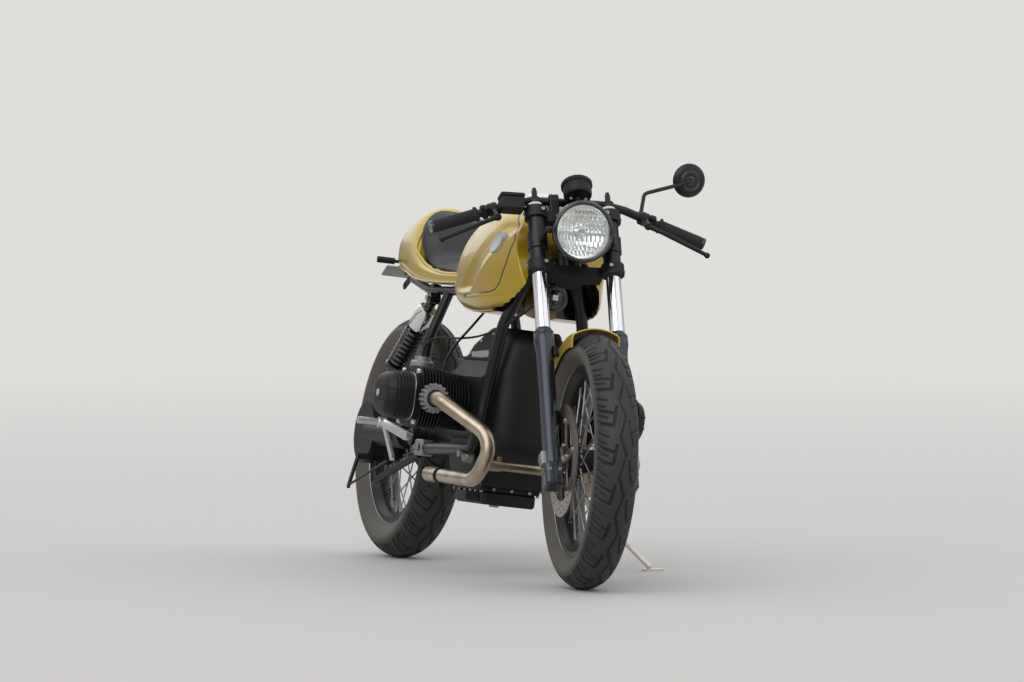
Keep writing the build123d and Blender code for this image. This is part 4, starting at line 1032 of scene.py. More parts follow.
# %% Brake reservoir
reservoir_x, reservoir_y = unit(X), unit((0, 0.94, -0.35))
reservoir_up = np.cross(reservoir_x, reservoir_y)
foot_at = upright(-162, -62, 709)
tank_part = slab(rounded([(-31, -24), (31, -24), (31, 24), (-31, 24)], 7), foot_at, reservoir_x, reservoir_y, 35, 3)
lid = slab(rounded([(-32, -25), (32, -25), (32, 25), (-32, 25)], 7),
           foot_at + reservoir_up * 35, reservoir_x, reservoir_y, 9.5, 2)
on_steering("brake_reservoir_body", [tank_part, lid, bar(upright(-158, -62, 726), upright(-158, -25, 749), 17)],
            plastic, ["brake_reservoir"])
lid_screws = [screw(foot_at + reservoir_up * 43.5 + reservoir_x * dx + reservoir_y * dy, reservoir_up, 6, 1.4)
              for dx, dy in ((-23, -17), (23, 17), (-23, 17), (23, -17))]
on_steering("reservoir_screws", lid_screws, alloy)

# %% [markdown]
# ## Mirror
# The round mirror looks back over the rider's left hand, so from the front only its black cup shows.

# %% Mirror
mirror_at, mirror_way = upright(343, 0, 869), unit((-0.12, 1, 0.1))
shell = [(0, 0.01), (0.5, 14), (2, 26), (5, 36), (9, 42.5), (12, 44.6), (14, 45), (15, 44), (15, 42.5), (13, 41.5),
         (13, 0.01)]
arm = run([upright(196, -10, 748), upright(214, 0, 822), upright(336, 4, 866)], 18)
joint = lathe([(-8, 5), (-7, 8), (7, 8), (8, 5)],
              upright(196, -12, 750), upright(215, 0, 824) - upright(196, -10, 748), 20)
on_steering("mirror_cup_and_arm", [lathe(shell, mirror_at, mirror_way, 72), tube(arm, 10.5), joint,
                                   bar(upright(330, 2, 864), mirror_at + mirror_way * 5, 13, 20, 2)],
            satin_black, ["mirror"])
on_steering("mirror_hub", [lathe([(-1, 0.01), (-1, 10), (0.5, 13), (3, 14)], mirror_at, mirror_way, 40),
                           lathe([(1.0, 24), (0.2, 25), (1.6, 27), (4, 27)], mirror_at, mirror_way, 60)],
            gloss_black)
on_steering("mirror_glass", lathe([(13.1, 0.01), (13.1, 41), (14, 41), (14, 0.01)], mirror_at, mirror_way, 72),
            chrome)

# %% [markdown]
# ## Calipers
# A fixed caliper sits behind each fork leg. It is two cast halves held by four screws, and a round cap with a nut
# closes the bore of each piston.

# %% Calipers
caliper_bits, caliper_bolts = [], []
spin, back = np.array([0, rake_sin, rake_cos]), np.array([0, rake_cos, -rake_sin])
for side in (-1, 1):
    middle = np.array([side * 65, 98, front_radius + 72])
    for dy in (-19, 19):
        at = middle + spin * dy + np.array([side * 23, 0, 0])
        caliper_bits.append(lathe([(-2, 17), (2, 17), (4, 15.5), (4, 9), (2.5, 8), (2.5, 0.01)],
                                  at, (side, 0, 0), 28))
        caliper_bolts.append(nut(at + np.array([side * 2.5, 0, 0]), (side, 0, 0), 11, 3))
    for dx, dy in ((-21, -40), (-21, 40), (21, -40), (21, 40)):
        at = middle + spin * dy + back * dx + np.array([side * 22.5, 0, 0])
        caliper_bolts.append(screw(at, (side, 0, 0), 10, 5))
on_steering("caliper_cylinders", caliper_bits, engine_black)
on_steering("caliper_bolts", caliper_bolts, axle_steel)

# %% [markdown]
# ## Engine
# The crankcase is one casting with a smooth bulging cover bolted on the front. Two cylinders stand out flat to the
# sides, and each has thin round fins, a squarer finned head and a deep rocker cover. All the fins are left as they
# are in the assembly, and only the covers, nuts and bolts are drawn finer here.

# %% Front cover
v = np.linspace(-1, 1, 46)
height = 466 + 174 * v
half_width = np.interp(height, [292, 330, 540, 640], [70, 96, 96, 80])
half_width = half_width * (1 - np.abs(v) ** 14 * 0.16)
deep = 88 * (1 - np.abs(v) ** 10 * 0.5)
t = np.linspace(0, np.pi, 61)
cover_x = half_width[:, None] * signed_power(np.cos(t), 0.62)
cover_y = 566 - deep[:, None] * np.sin(t) ** 0.42
cover_rings = np.stack([cover_x, cover_y, height[:, None] + 0 * cover_x], -1)
flange = rounded([(-73, 290), (-99, 330), (-99, 542), (-82, 642), (82, 642), (99, 542), (99, 330), (73, 290)],
                 [14, 22, 40, 26, 26, 40, 22, 14], 7)
cover_parts = [skin(cover_rings),
               slab(flange, (0, 566, 0), X, Z, 13, 1.5)]
bosses = [(side * x, z) for x, z in ((82, 541), (84, 358), (88, 450), (66, 622), (60, 306)) for side in (-1, 1)]
cover_parts += [lathe([(0, 11), (22, 9), (24, 7), (24, 0.01)], (x, 552, z), (0, -1, 0), 20) for x, z in bosses]
on_frame("smooth_front_cover", cover_parts, engine_black, ["front_cover"], sharp=32)
on_frame("cover_bolts", [screw((x, 528.5, z), (0, -1, 0), 11, 5) for x, z in bosses], alloy)

# %% [markdown]
# ## Top cover and oil pan
# The top cover is a plain arched shell over the starter, with a foot all round, and its plate is left bare. The oil
# pan is ribbed along its front so that it stays cool.

# %% Top cover and oil pan
crown = slab(rounded([(566, 560), (566, 650), (640, 640), (750, 600), (806, 560)], [1, 26, 30, 30, 3], 7),
             (-90, 0, 0), Y, Z, 180, 6)
foot_line = slab(rounded([(564, 556), (564, 563), (812, 563), (812, 556)], 1, 3),
                 (-95, 0, 0), Y, Z, 190, 1)
on_frame("top_cover_shell", [crown, foot_line], engine_black, ["top_cover"])
side_bolts = [screw((side * 90, y, z), (side, 0, 0), 9, 3)
              for side in (-1, 1) for y, z in ((600, 628), (690, 606), (770, 572))]
on_frame("top_cover_bolts", side_bolts, alloy)
bare_plate = block((-90.6, 690, 571), (132, 18, 1.4), (0, 1, -0.05), (0, 0.05, 1), radius=2, edge=0.3)
on_frame("bare_label_plate", bare_plate, label_steel)

pan = [
    slab(rounded([(-83, 576), (83, 576), (83, 820), (-83, 820)], 18), (0, 0, 216), X, Y, 12, 1.5),
    slab(rounded([(-75, 584), (75, 584), (75, 812), (-75, 812)], 16), (0, 0, 180), X, Y, 37, 6),
]
pan += [block((0, 616 + k * 13, 201), (159, 4, 29), radius=1.5, edge=1) for k in range(8)]
on_frame("ribbed_oil_pan", pan, engine_black, ["oil_pan"])
pan_bolts = [screw((x, y, 216), (0, 0, -1), 9, 5) for x in (-79, 79) for y in np.linspace(590, 806, 6)]
pan_bolts += [screw((x, 576.5, 222), (0, -1, 0), 9, 5) for x in (-50, 0, 50)]
pan_bolts.append(nut((0, 700, 181), (0, 0, -1), 24, 7))
on_frame("pan_bolts", pan_bolts, axle_steel)

# %% [markdown]
# ## Rocker covers
# A rocker cover is cast with soft corners and a few stepped ribs round its foot. It is held by one nut in the middle
# and two at its sides, and a thin bright gasket shows where it meets the head.

# %% Rocker covers
# the crankcase's side from the middle, the cylinders' axis from the ground, the cover's foot from the crankcase's side
case_half, cylinder_height, cover_foot = 120.0, 440.0, 163
# the cover's outline at each depth: depth, width, height, corner
rocker_rings = np.array([
    (0, 147, 123, 42), (3, 148, 124, 42), (30, 146.5, 122.5, 46), (44, 143.5, 119, 49), (54, 139, 114, 50),
    (62, 131, 106, 50), (68, 122, 98, 46), (71, 111, 87, 40), (72.8, 96, 72, 32), (73.5, 76, 54, 24),
])


def soft_box(width, height, corner, steps=9):
    """A rectangle's outline with quarter circles at its corners."""
    corner = min(corner, width / 2 - 1, height / 2 - 1)
    t = np.linspace(0, np.pi / 2, steps)
    quarter = corner * np.stack([np.cos(t), np.sin(t)], 1) + (width / 2 - corner, height / 2 - corner)
    half = np.concatenate([quarter, (quarter * (-1, 1))[::-1]])
    return np.concatenate([half, (half * (1, -1))[::-1]])


def at_head(side, y0, outline, depth):
    """A flat outline round a cylinder's axis, at a depth outwards from the crankcase's side."""
    return np.stack([np.full(len(outline), side * (case_half + depth)), y0 + outline[:, 0],
                     cylinder_height + outline[:, 1]], 1)


def rocker_cover(side, y0):
    """The outlines stacked from foot to top, a thin step round them at five depths, two ribs and the middle boss."""
    body = [skin(np.stack([at_head(side, y0, soft_box(w, h, c), cover_foot + d) for d, w, h, c in rocker_rings]))]
    for depth in (9, 18, 27, 36, 45):
        wide, tall, soft = [np.interp(depth, rocker_rings[:, 0], rocker_rings[:, k]) for k in (1, 2, 3)]
        body.append(skin(np.stack([
            at_head(side, y0, soft_box(wide + 2 * out, tall + 2 * out, soft), cover_foot + depth + step)
            for step, out in ((0, -2), (0.8, 2.2), (3.4, 2.2), (4.2, -2))])))
    for height in (-15, 15):
        d = np.linspace(2, 73.5, 16)
        half = np.interp(d, rocker_rings[:, 0], rocker_rings[:, 1]) / 2 + 1.8
        rib = np.concatenate([np.c_[-half, 164.2 + d], np.c_[half, 164.2 + d][::-1]])
        low = np.stack([side * (case_half + rib[:, 1]), y0 + rib[:, 0],
                        np.full(len(rib), cylinder_height + height - 2)], 1)
        body.append(skin(np.stack([low + (0, 0, 0.6), low, low + (0, 0, 3.4), low + (0, 0, 4)])))
    body.append(lathe([(225, 14), (236, 14), (238, 12), (238, 0.01)],
                      (side * case_half, y0, cylinder_height), (side, 0, 0), 32))
    return body


def head_nuts(side, y0):
    """The edge of the gasket, the three nuts of the cover and the four of the head."""
    gasket = np.stack([at_head(side, y0, soft_box(150, 126, 42), 161.2 + d) for d in (0, 1.6)])
    places = [(236, 0, 0, 17, 6), (205, -56, 0, 13, 14), (205, 56, 0, 13, 14)]
    places += [(150, dy, dz, 12, 9) for dy, dz in ((-60, -66), (60, -66), (-60, 66), (60, 66))]
    return [skin(gasket)] + [
        nut((side * (case_half + out), y0 + dy, cylinder_height + dz), (side, 0, 0), across_flats, height)
        for out, dy, dz, across_flats, height in places]


# %% [markdown]
# ## Exhaust nuts
# The exhaust nut is cast with fins so that it can be turned with a hooked wrench and stays cooler. The end of the
# header's sleeve stands out of it.


# %% Exhaust nuts
def finned_nut(port, fins=18):
    """A ring whose outline rises and falls once for each fin, eight points to a fin, and the sleeve in it."""
    t = np.arange(fins * 8) * 2 * np.pi / (fins * 8)
    out = np.tile([30.5, 30.5, 36.5, 38.8, 39, 38.8, 36.5, 30.5], fins)
    outline = np.c_[out * np.cos(t), out * np.sin(t)]
    inner = 22.1 * unit(outline)
    layers = [(0, inner), (0, outline * 0.97), (1.5, outline), (24.5, outline), (26, outline * 0.97), (26, inner)]
    rings = np.stack([port + np.c_[o[:, 0], np.full(len(o), d), o[:, 1]] for d, o in layers])
    sleeve = lathe([(25, 19.1), (25, 25), (57, 25), (57, 19.1)], port, Y, 48, loop=True)
    return [grid(rings, wrap_columns=True, wrap_rows=True), sleeve]


# %% [markdown]
# ## Carburettors
# Behind each cylinder a carburettor hangs between two short tubes, each held by a band. Its slide works in the round
# dome on top, and the bowl hangs below.


# %% Carburettors
def carburettor(side, y0):
    """The tubes, the turned bowl and dome, and the flange; and apart from them the bands and the lid's screws."""
    middle = np.array([side * 184.0, y0 + 190, 0])
    body = [
        bar((side * 205, y0 + 76, 455), (side * 198, y0 + 118, 455), 50, 36, 2),
        bar((side * 198.4, y0 + 118, 455), (side * 184, y0 + 232, 455), 45, 36, 2),
        lathe([(398, 18), (400, 26), (404, 31), (436, 31), (438, 28), (470, 27), (476, 29), (505, 29), (508, 31),
               (534, 31), (536, 29), (538, 22), (550, 22), (550, 0.01)], middle, Z, 48),
        tube(run([(side * 184, y0 + 222, 455), (side * 160, y0 + 246, 457), (side * 80, y0 + 285, 470)], 30), 39, 28),
        block((side * 206, y0 + 190, 452), (16, 30, 26), radius=4),
    ]
    bands = [lathe([(0, 25.2), (0, 26.4), (9, 26.4), (9, 25.2)],
                   (side * 203, y0 + 86, 455), (-side * 7, 42, 0), 40, loop=True),
             lathe([(0, 19.7), (0, 21), (9, 21), (9, 19.7)],
                   (side * 168, y0 + 238, 456), (-side * 24, 24, 2), 36, loop=True)]
    screws = [screw(middle + (dx, dy, 536), Z, 7, 3) for dx, dy in ((-21, -15), (21, -15), (-21, 15), (21, 15))]
    return body, bands + screws


# %% [markdown]
# ## Both sides of the engine
# The two sides are alike, but the right cylinder stands 45 mm further back, because the two rods sit side by side on
# the crankshaft.

# %% Both sides of the engine
for side, y0, name in ((-1, 690.0, "right"), (1, 645.0, "left")):
    port = np.array([side * 245.0, y0 - 133, cylinder_height])
    on_frame("cast_rocker_cover_" + name, rocker_cover(side, y0), engine_black, ["rocker_cover_" + name], sharp=35)
    on_frame("bright_head_nuts_" + name, head_nuts(side, y0), alloy)
    on_frame("finned_exhaust_nut_" + name, finned_nut(port), cast_alloy, ["collar_nut_" + name], sharp=30)
    washer = lathe([(-2.5, 19.1), (-2.5, 22.6), (1, 23.2), (1, 19.1)], port, Y, 48, loop=True)
    on_frame("exhaust_sealing_ring_" + name, washer, engine_black)
    carburettor_body, bands = carburettor(side, y0)
    on_frame("carburettor_body_" + name, carburettor_body, cast_alloy, ["carburettor_" + name])
    on_frame("carburettor_bands_" + name, bands, alloy)

# %% [markdown]
# ## Pipe joints and engine bolts
# A short sleeve ends the crossover pipe on each header, and a second one with a clamp ring joins the header to its
# cut end. Long bolts through the crankcase hold the engine in the cradle.

# %% Pipe joints and engine bolts
sleeves, bands = [], []
for side in (-1, 1):
    sleeves.append(bar((side * 96, 418, 285), (side * 140, 418, 285), 31, 32, 1.5))
    sleeves.append(block((side * 100, 418, 303), (10, 14, 12), radius=3))
    sleeves.append(lathe([(0, 19.2), (0, 20.6), (92, 20.6), (93, 20), (93, 19.2)],
                         (side * 157, 704, 242), Y, 36, loop=True))
    bands.append(lathe([(0, 19.3), (0, 22), (1, 22.6), (9, 22.6), (10, 22), (10, 19.3)],
                       (side * 157, 694, 242), Y, 36, loop=True))
    bands.append(block((side * 157, 699, 216), (14, 9, 10), radius=2))
on_frame("pipe_sleeves", sleeves, pipe_steel)
on_frame("pipe_clamp_rings", bands, engine_black)
mounts = []
for side in (-1, 1):
    mounts.append(bar((side * 108, 608, 305), (side * 132, 608, 305), 44, 32, 3))
    mounts.append(nut((side * 141, 608, 305), (side, 0, 0), 19, 8))
    mounts.append(block((side * 125, 960, 309), (38, 60, 44), radius=10, edge=4))
    mounts.append(nut((side * 144, 946, 309), (side, 0, 0), 17, 7))
    mounts.append(nut((side * 144, 974, 309), (side, 0, 0), 13, 6))
on_frame("engine_bolts", mounts, cast_alloy)

# %% [markdown]
# ## Tank
# The tank is two pressed halves welded along the middle. Its sides are nearly flat, its top is half an ellipse, and
# a knee panel is pressed in on each side with one crease across it. Below it is open round the frame tube and the
# steering head.

# %% Tank sections
tank_table = np.array([
    # y, half width, bottom, waist, top, bottom corner radius
    (320, 72, 745, 800, 900, 30), (400, 122, 702, 790, 955, 36), (520, 156, 683, 790, 985, 40),
    (680, 155, 681, 790, 985, 40), (800, 142, 700, 782, 950, 36), (880, 120, 732, 780, 892, 30),
], float)


def through(table, y):
    """Smooth values between the rows of a table: a cubic whose slopes come from the rows on both sides."""
    slope = np.gradient(table[:, 1:], table[:, 0], axis=0)
    i = np.clip(np.searchsorted(table[:, 0], y) - 1, 0, len(table) - 2)
    h = (table[i + 1, 0] - table[i, 0])[:, None]
    t = ((y - table[i, 0]) / h[:, 0])[:, None]
    a, b = table[i, 1:], table[i + 1, 1:]
    start, leave, end, arrive = cubic_weights(t)
    return start * a + leave * h * slope[i] + end * b + arrive * h * slope[i + 1]


def body_rings(y, half, low, waist, high, corner, top, bottom, sides=26):
    """Closed sections: half an ellipse from waist to waist, straight sides, quarter circles below, a flat bottom
    whose points stand at the given distances from the middle."""
    t = np.linspace(0, np.pi, top)
    s = np.linspace(0, 1, sides)[1:-1]
    q = np.linspace(0, np.pi / 2, 8)
    half, low, waist, high, corner = [v[:, None] for v in (half, low, waist, high, corner)]
    arch = np.stack([half * np.cos(t), waist + (high - waist) * np.sin(t)], -1)
    left = np.stack([-half + 0 * s, waist + (low + corner - waist) * s], -1)
    left_corner = np.stack([-half + corner - corner * np.cos(q), low + corner - corner * np.sin(q)], -1)
    flat = np.clip(np.asarray(bottom, float), -(half - corner), half - corner)
    floor_line = np.stack([flat, low + 0 * flat], -1)
    right_corner = left_corner[:, ::-1] * (-1, 1)
    right = left[:, ::-1] * (-1, 1)
    ring = np.concatenate([arch, left, left_corner, floor_line, right_corner, right], 1)
    y = np.broadcast_to(y[:, None, None], ring.shape[:2] + (1,))
    return np.concatenate([ring[..., :1], y, ring[..., 1:]], -1)


print("tank at y 600", through(tank_table, np.array([600.0])).round(1))

# %% [markdown]
# ## Tank surface
# The sections are laid along the tank, and then its points are moved as whole arrays: the bottom is lifted into the
# tunnel, the knee panel and its gap go in, the rear end is rounded, and the front is cut along the steering head.

# %% Tank surface
ys = np.r_[np.linspace(322, 345, 8)[:-1], np.linspace(345, 800, 180)[:-1], np.linspace(800, 879, 26)]
under = [-150, -131.9, -130.1, -100, -74.1, -73.9, -46.1, -45.9, 0, 45.9, 46.1, 73.9, 74.1, 100, 130.1, 131.9, 150]
rings = body_rings(ys, *through(tank_table, ys).T, top=190, bottom=under)
across, side_view = np.abs(rings[..., 0]), rings[..., 1:].copy()
# the tunnel for the frame tube, and the wider hollow over the steering head
tunnel = np.where((across < 46) & (side_view[..., 0] < 850), 872.0, 0.0)
in_front = side_view[..., 0] < 506
hollow = np.select([across < 74, across < 130, across < 132], [830.0, 830 - (across - 74) * 2.5, 690.0], 0.0)
tunnel = np.maximum(tunnel, np.where(in_front, hollow, 0.0))
# the knee panel: a thin gap along its front and lower edge, a fold across it, and a shallow hollow behind the fold
gap_line = [(497, 942), (458, 909), (433, 871), (437, 811), (455, 757), (472, 738), (500, 731), (560, 726),
            (740, 721), (786, 729)]
gap = smooth_step(1.6 - to_line(side_view, gap_line) / 2.2)
fold_way = unit((91, 105))
behind = (side_view - (513, 833)) @ fold_way
into = np.clip(behind / 30, 0, 1)
hollow_in = into * (2 - into) * (1 - 0.6 * np.clip((behind - 52) / 34, 0, 1))
hollow_in = hollow_in * smooth_step((792 - side_view[..., 0]) / 30)
hollow_in *= (smooth_step((across - 84) / 40) * smooth_step((side_view[..., 1] - 724) / 22)
              * smooth_step((940 - side_view[..., 1]) / 40))
rings[..., 0] -= np.sign(rings[..., 0]) * (8.0 * hollow_in + 1.5 * gap)
round_in = 1 - 0.045 * (1 - np.sqrt(1 - (1 - np.clip((879 - ys) / 16, 0, 1)) ** 2))
rings[..., 0] *= round_in[:, None]
rings[..., 2] = 830 + (rings[..., 2] - 830) * round_in[:, None]
in_tunnel = rings[..., 2] < tunnel - 1
rings[..., 2] = np.maximum(rings[..., 2], tunnel)
# the front of the tank leans with the steering axis and stays 58 mm behind it
head_line = (fork_offset * rake_cos + 58 / rake_cos
             + (rings[..., 2] - (front_radius - fork_offset * rake_sin)) * np.tan(rake))
rings[..., 1] = np.maximum(rings[..., 1], head_line)
lip_y = np.linspace(512, 842, 50)
low_edge = through(tank_table, lip_y)
flanges = [tube(np.stack([side * (low_edge[:, 0] - 24), lip_y, low_edge[:, 1] + 3.4], 1), 6, 8)
           for side in (-1, 1)]
tank = joined(skin(rings), *flanges)
# Painted shade: the gap's groove, the inside of the tunnel and the wall at the back of the hollow over the steering
# head are painted dark through the shade number.
step_wall = (rings[..., 1] > 500) & (rings[..., 1] < 513) & (across < 131) & (rings[..., 2] < 829)
tank_shade = np.r_[np.maximum(gap, in_tunnel | step_wall).reshape(-1), np.zeros(len(tank[0]) - gap.size)]
on_frame("pressed_fuel_tank", tank, tank_paint, ["fuel_tank"], sharp=42, shade=tank_shade)

# %% [markdown]
# ## Cap and roundels
# The filler cap is a turned chrome lid in a ring, with a hinge behind and a catch in front. The two roundels are
# plain discs with a raised edge.

# %% Cap and roundels
cap = [(975, 34), (990, 34), (992, 36), (994, 36), (999, 35), (1003, 31), (1005.5, 24), (1006, 12), (1006, 0.01)]
cap_ring = [(978, 36), (978, 41), (981, 41), (984, 38), (984, 36)]
hinge = block((0, 650, 990), (16, 12, 10), radius=3)
catch = block((0, 572, 992), (14, 12, 8), radius=3)
on_frame("hinged_filler_cap", [lathe(cap, (0, 612, 0), Z, 64),
                               lathe(cap_ring, (0, 612, 0), Z, 64, loop=True), hinge, catch],
         chrome, ["filler_cap"])
plain = []
for side in (-1, 1):
    way = unit((side * 0.94, 0, 0.34))
    at = np.array([side * 139.0, 514, 863])
    plain.append(lathe([(-10, 33), (2, 33), (4, 32.2), (4.8, 30.5), (4.2, 29), (3.4, 27.5), (3.4, 0.01)],
                       at, way, 72))
on_frame("plain_tank_roundels", plain, label_steel, ["tank_roundels"])

# %% [markdown]
# ## Cowl
# The cowl is one moulded shell: a flat tray in front that climbs to a round back. The pad is let into it, and its
# edge round the pad is rolled outwards and catches the light.

# %% Cowl
seat_cos, seat_sin = 0.866, 0.5  # the pad is cut square to a line that climbs 30 degrees to the rear
cowl_table = np.array([
    # y, half width, bottom, waist, top, bottom corner radius
    (884, 112, 752, 774, 790, 12), (1060, 122, 752, 778, 800, 16), (1163, 128, 756, 792, 836, 20),
    (1235, 127, 764, 810, 905, 24), (1300, 122, 776, 832, 966, 26), (1390, 111, 790, 844, 960, 26),
    (1460, 94, 800, 848, 918, 22), (1530, 56, 815, 841, 870, 12),
], float)
cowl_y = np.r_[np.linspace(884, 1500, 130), 1510, 1518, 1524, 1528, 1530]
widths = through(cowl_table, cowl_y)
tail = np.clip((cowl_y - 1490) / 40, 0, 1)[:, None]
widths[:, [0]] *= 1 - 0.25 * tail ** 3
shell = body_rings(cowl_y, *widths.T, top=150, bottom=np.linspace(-110, 110, 23))
# the shell is open in front: its edge climbs from the tray to the back, and the pad is let into it
edge_line = np.array([(880, 785), (1098, 789), (1180, 848), (1258, 962), (1262, 1100), (1540, 1100)], float)
pad_under = np.array([(880, 776), (1110, 774), (1180, 800), (1292, 925)], float)


def pad_reach(s):
    """Half width of the pad's oval at a place along the seat: straight lines in front, half an ellipse behind."""
    front = np.interp(s, [1172, 1275, 1378, 1471], [98, 107, 113, 118])
    return np.where(s < 1471, front, 118 * np.sqrt(np.maximum(1 - (np.maximum(s - 1471, 0) / 121) ** 2, 0)))


def cowl_top(x, y):
    """Height of the cowl's surface: its arch, cut by the open edge."""
    half, _, waist, high, _ = through(cowl_table, y).T
    arch = waist + (high - waist) * np.sqrt(np.clip(1 - (x / half) ** 2, 0, 1))
    return np.minimum(np.interp(y, *edge_line.T), arch)


print("seat edge at y 1200", cowl_top(0.0, np.array([1200.0])).round(1))

# %% [markdown]
# ## Open edge and rolled rim
# The shell's points are lowered to the open edge, and under the pad to the pad's foot. The rolled rim runs where the
# pad's oval meets the shell: at each place along the seat the first point behind which the shell is higher is taken,
# and the line is eased three times.

# %% Open edge and rolled rim
shell[..., 2] = np.minimum(shell[..., 2], np.interp(shell[..., 1], *edge_line.T))
along_seat = shell[..., 1] * seat_cos + shell[..., 2] * seat_sin
let_in = smooth_step((pad_reach(along_seat) - np.abs(shell[..., 0])) / 4) * (shell[..., 1] < 1292)
floor_here = np.interp(shell[..., 1], *pad_under.T) - 2
shell[..., 2] -= let_in * np.maximum(shell[..., 2] - floor_here, 0)
cowl = skin(shell)
s_values = np.r_[np.linspace(1190, 1470, 60), 1471 + 121 * np.sin(np.linspace(0, np.pi / 2, 24)) * 0.999]
half_rim, y_line = [], np.linspace(900, 1420, 521)
for s_here in s_values:
    x_here = float(pad_reach(s_here)) + 1.5
    over = (s_here - seat_cos * y_line) / seat_sin - cowl_top(x_here, y_line)
    y_here = y_line[np.argmax(over < 0)]
    half_rim.append((x_here, y_here, (s_here - seat_cos * y_here) / seat_sin))
half_rim = np.array(half_rim)
for _ in range(3):
    half_rim[1:-1] = (half_rim[:-2] + 2 * half_rim[1:-1] + half_rim[2:]) / 4
half_rim[-1, 0] = 0
rim_path = np.concatenate([half_rim * (-1, 1, 1), half_rim[::-1][1:]])
beads = [tube(rim_path, 11, 12)]
for side in (-1, 1):
    beads.append(tube(np.stack([side * (widths[:112, 0] - 4), cowl_y[:112], widths[:112, 1] + 6], 1), 6, 8))
on_frame("seat_cowl_shell", [cowl, *beads], body_paint, ["seat_cowl"], sharp=40)
print("rim from", half_rim[0].round(), "to", half_rim[-1].round())

# %% [markdown]
# ## Pad
# The seat pad is foam under a sewn cover. It is cut as an oval, lies low in front and climbs over the cowl behind.

# %% Pad
upper = run([(0, 884, 804), (0, 1092, 811), (0, 1145, 833), (0, 1208, 906), (0, 1264, 970), (0, 1284, 970)],
            [200, 90, 260, 20], 8)[:, 1:]
lower_line = run([(0, 884, 776), (0, 1110, 774), (0, 1180, 800), (0, 1296, 930)], [80, 80], 8)[:, 1:]
stations = np.linspace(0, 1, 70)
top_line, low_line = resampled(upper, stations), resampled(lower_line, stations)
mid = (top_line + low_line) / 2
lie = mid @ np.array([seat_cos, seat_sin])
oval = np.maximum(pad_reach(np.minimum(lie - 6, 1582)) + 1, 2)
t = full_turn(72)
around = np.stack([signed_power(np.cos(t), 0.42), signed_power(np.sin(t), 0.7)], 1)
thick = (top_line - low_line) / 2 * 0.96
ends = np.clip(np.minimum(stations, 1 - stations) / 0.03, 0, 1)
round_end = np.sqrt(1 - (1 - ends) ** 2) * 0.96 + 0.04
pad_points = np.stack([
    (oval * round_end)[:, None] * around[:, 0],
    mid[:, :1] + thick[:, :1] * around[:, 1] * round_end[:, None],
    mid[:, 1:] + thick[:, 1:] * around[:, 1] * round_end[:, None],
], -1)
pad = on_frame("seat_pad_cover", skin(pad_points), hide, ["seat_pad"], sharp=180)

# %% [markdown]
# ## Stuffed cover
# The cover is under a little pressure from the foam, so a cloth simulation blows up a slightly smaller form. How far
# a point may move is capped, and the surface is eased afterwards.


# %% Stuffed cover
def puffed(made, voxel=0.006, pressure=4.0, cap=0.009, steps=20):
    """Blows a closed mesh up as cloth for some steps; a point that went further than the cap is pulled back to it."""
    scene = bpy.context.scene
    with bpy.context.temp_override(object=made, active_object=made, selected_objects=[made]):
        made.data.remesh_voxel_size = voxel
        bpy.ops.object.voxel_remesh()
    before = np.empty(len(made.data.vertices) * 3)
    made.data.vertices.foreach_get("co", before)
    cloth = made.modifiers.new("cloth", "CLOTH")
    cloth.settings.use_pressure = True
    cloth.settings.uniform_pressure_force = pressure
    cloth.settings.effector_weights.gravity = 0
    cloth.settings.quality = 5
    scene.frame_start, scene.frame_end = 1, steps
    for number in range(1, steps + 1):
        scene.frame_set(number)
    shown = made.evaluated_get(bpy.context.evaluated_depsgraph_get())
    after = np.empty(len(shown.data.vertices) * 3)
    shown.data.vertices.foreach_get("co", after)
    made.modifiers.remove(cloth)
    moved = (after - before).reshape(-1, 3)
    length = np.linalg.norm(moved, axis=1, keepdims=True)
    moved *= np.minimum(1, cap / np.maximum(length, 1e-9))
    made.data.vertices.foreach_set("co", (before.reshape(-1, 3) + moved).reshape(-1))
    scene.frame_set(1)
    print(made.name, "moved up to", round(float(length.max()) * 1000, 1), "mm")
    made.data.shade_smooth()
    ease = made.modifiers.new("ease", "SMOOTH")
    ease.factor, ease.iterations = 0.5, 5
    smooth = made.modifiers.new("smooth", "SUBSURF")
    smooth.levels = smooth.render_levels = 1


puffed(pad)

# %% [markdown]
# ## Shock
# One coil spring stands on the right, beside the wheel, because the wheel is held on that side alone. It is a black
# damper with a polished dome as its upper seat.

# %% Shock
shock_top, shock_foot = np.array([-105.0, 1080, 713]), np.array([-150.0, 1288, 456])
shock_way, shock_length = unit(shock_foot - shock_top), np.linalg.norm(shock_foot - shock_top)
turn = np.linspace(0, 8 * 2 * np.pi, 260)
u, w = basis(shock_way)
coil = (shock_top + np.linspace(112, 233, 260)[:, None] * shock_way
        + 25.5 * (np.cos(turn)[:, None] * u + np.sin(turn)[:, None] * w))
damper = lathe([(12, 8), (14, 14), (30, 15), (36, 17), (100, 17), (238, 17), (240, 28), (248, 31), (252, 30),
                (254, 20), (300, 15), (shock_length - 12, 14), (shock_length - 10, 8)], shock_top, shock_way, 36)
eyes = [lathe([(-15, 0.01), (-15, 15), (-14, 16), (14, 16), (15, 15), (15, 0.01)], shock_top, X, 32),
        lathe([(-16, 0.01), (-16, 17), (-15, 18), (15, 18), (16, 17), (16, 0.01)], shock_foot, X, 32)]
on_frame("damper_body", [damper, *eyes], gloss_black, ["shock_absorber"])
on_frame("coil_spring", tube(coil, 8.5, 10), gloss_black)
dome = [(34, 12), (34.5, 20), (38, 25.5), (46, 28), (58, 29), (96, 29), (104, 27.5), (108, 24), (108, 17)]
bolts = [nut(shock_top + (-15, 0, 0), (-1, 0, 0), 17, 8), nut(shock_foot + (-16, 0, 0), (-1, 0, 0), 19, 9)]
on_frame("shock_dome_and_bolts", [lathe(dome, shock_top, shock_way, 48), *bolts], chrome)

# %% [markdown]
# ## Horn and plate
# The horn is a flat disc with a square centre nut on a strap, and the number plate is left bare.

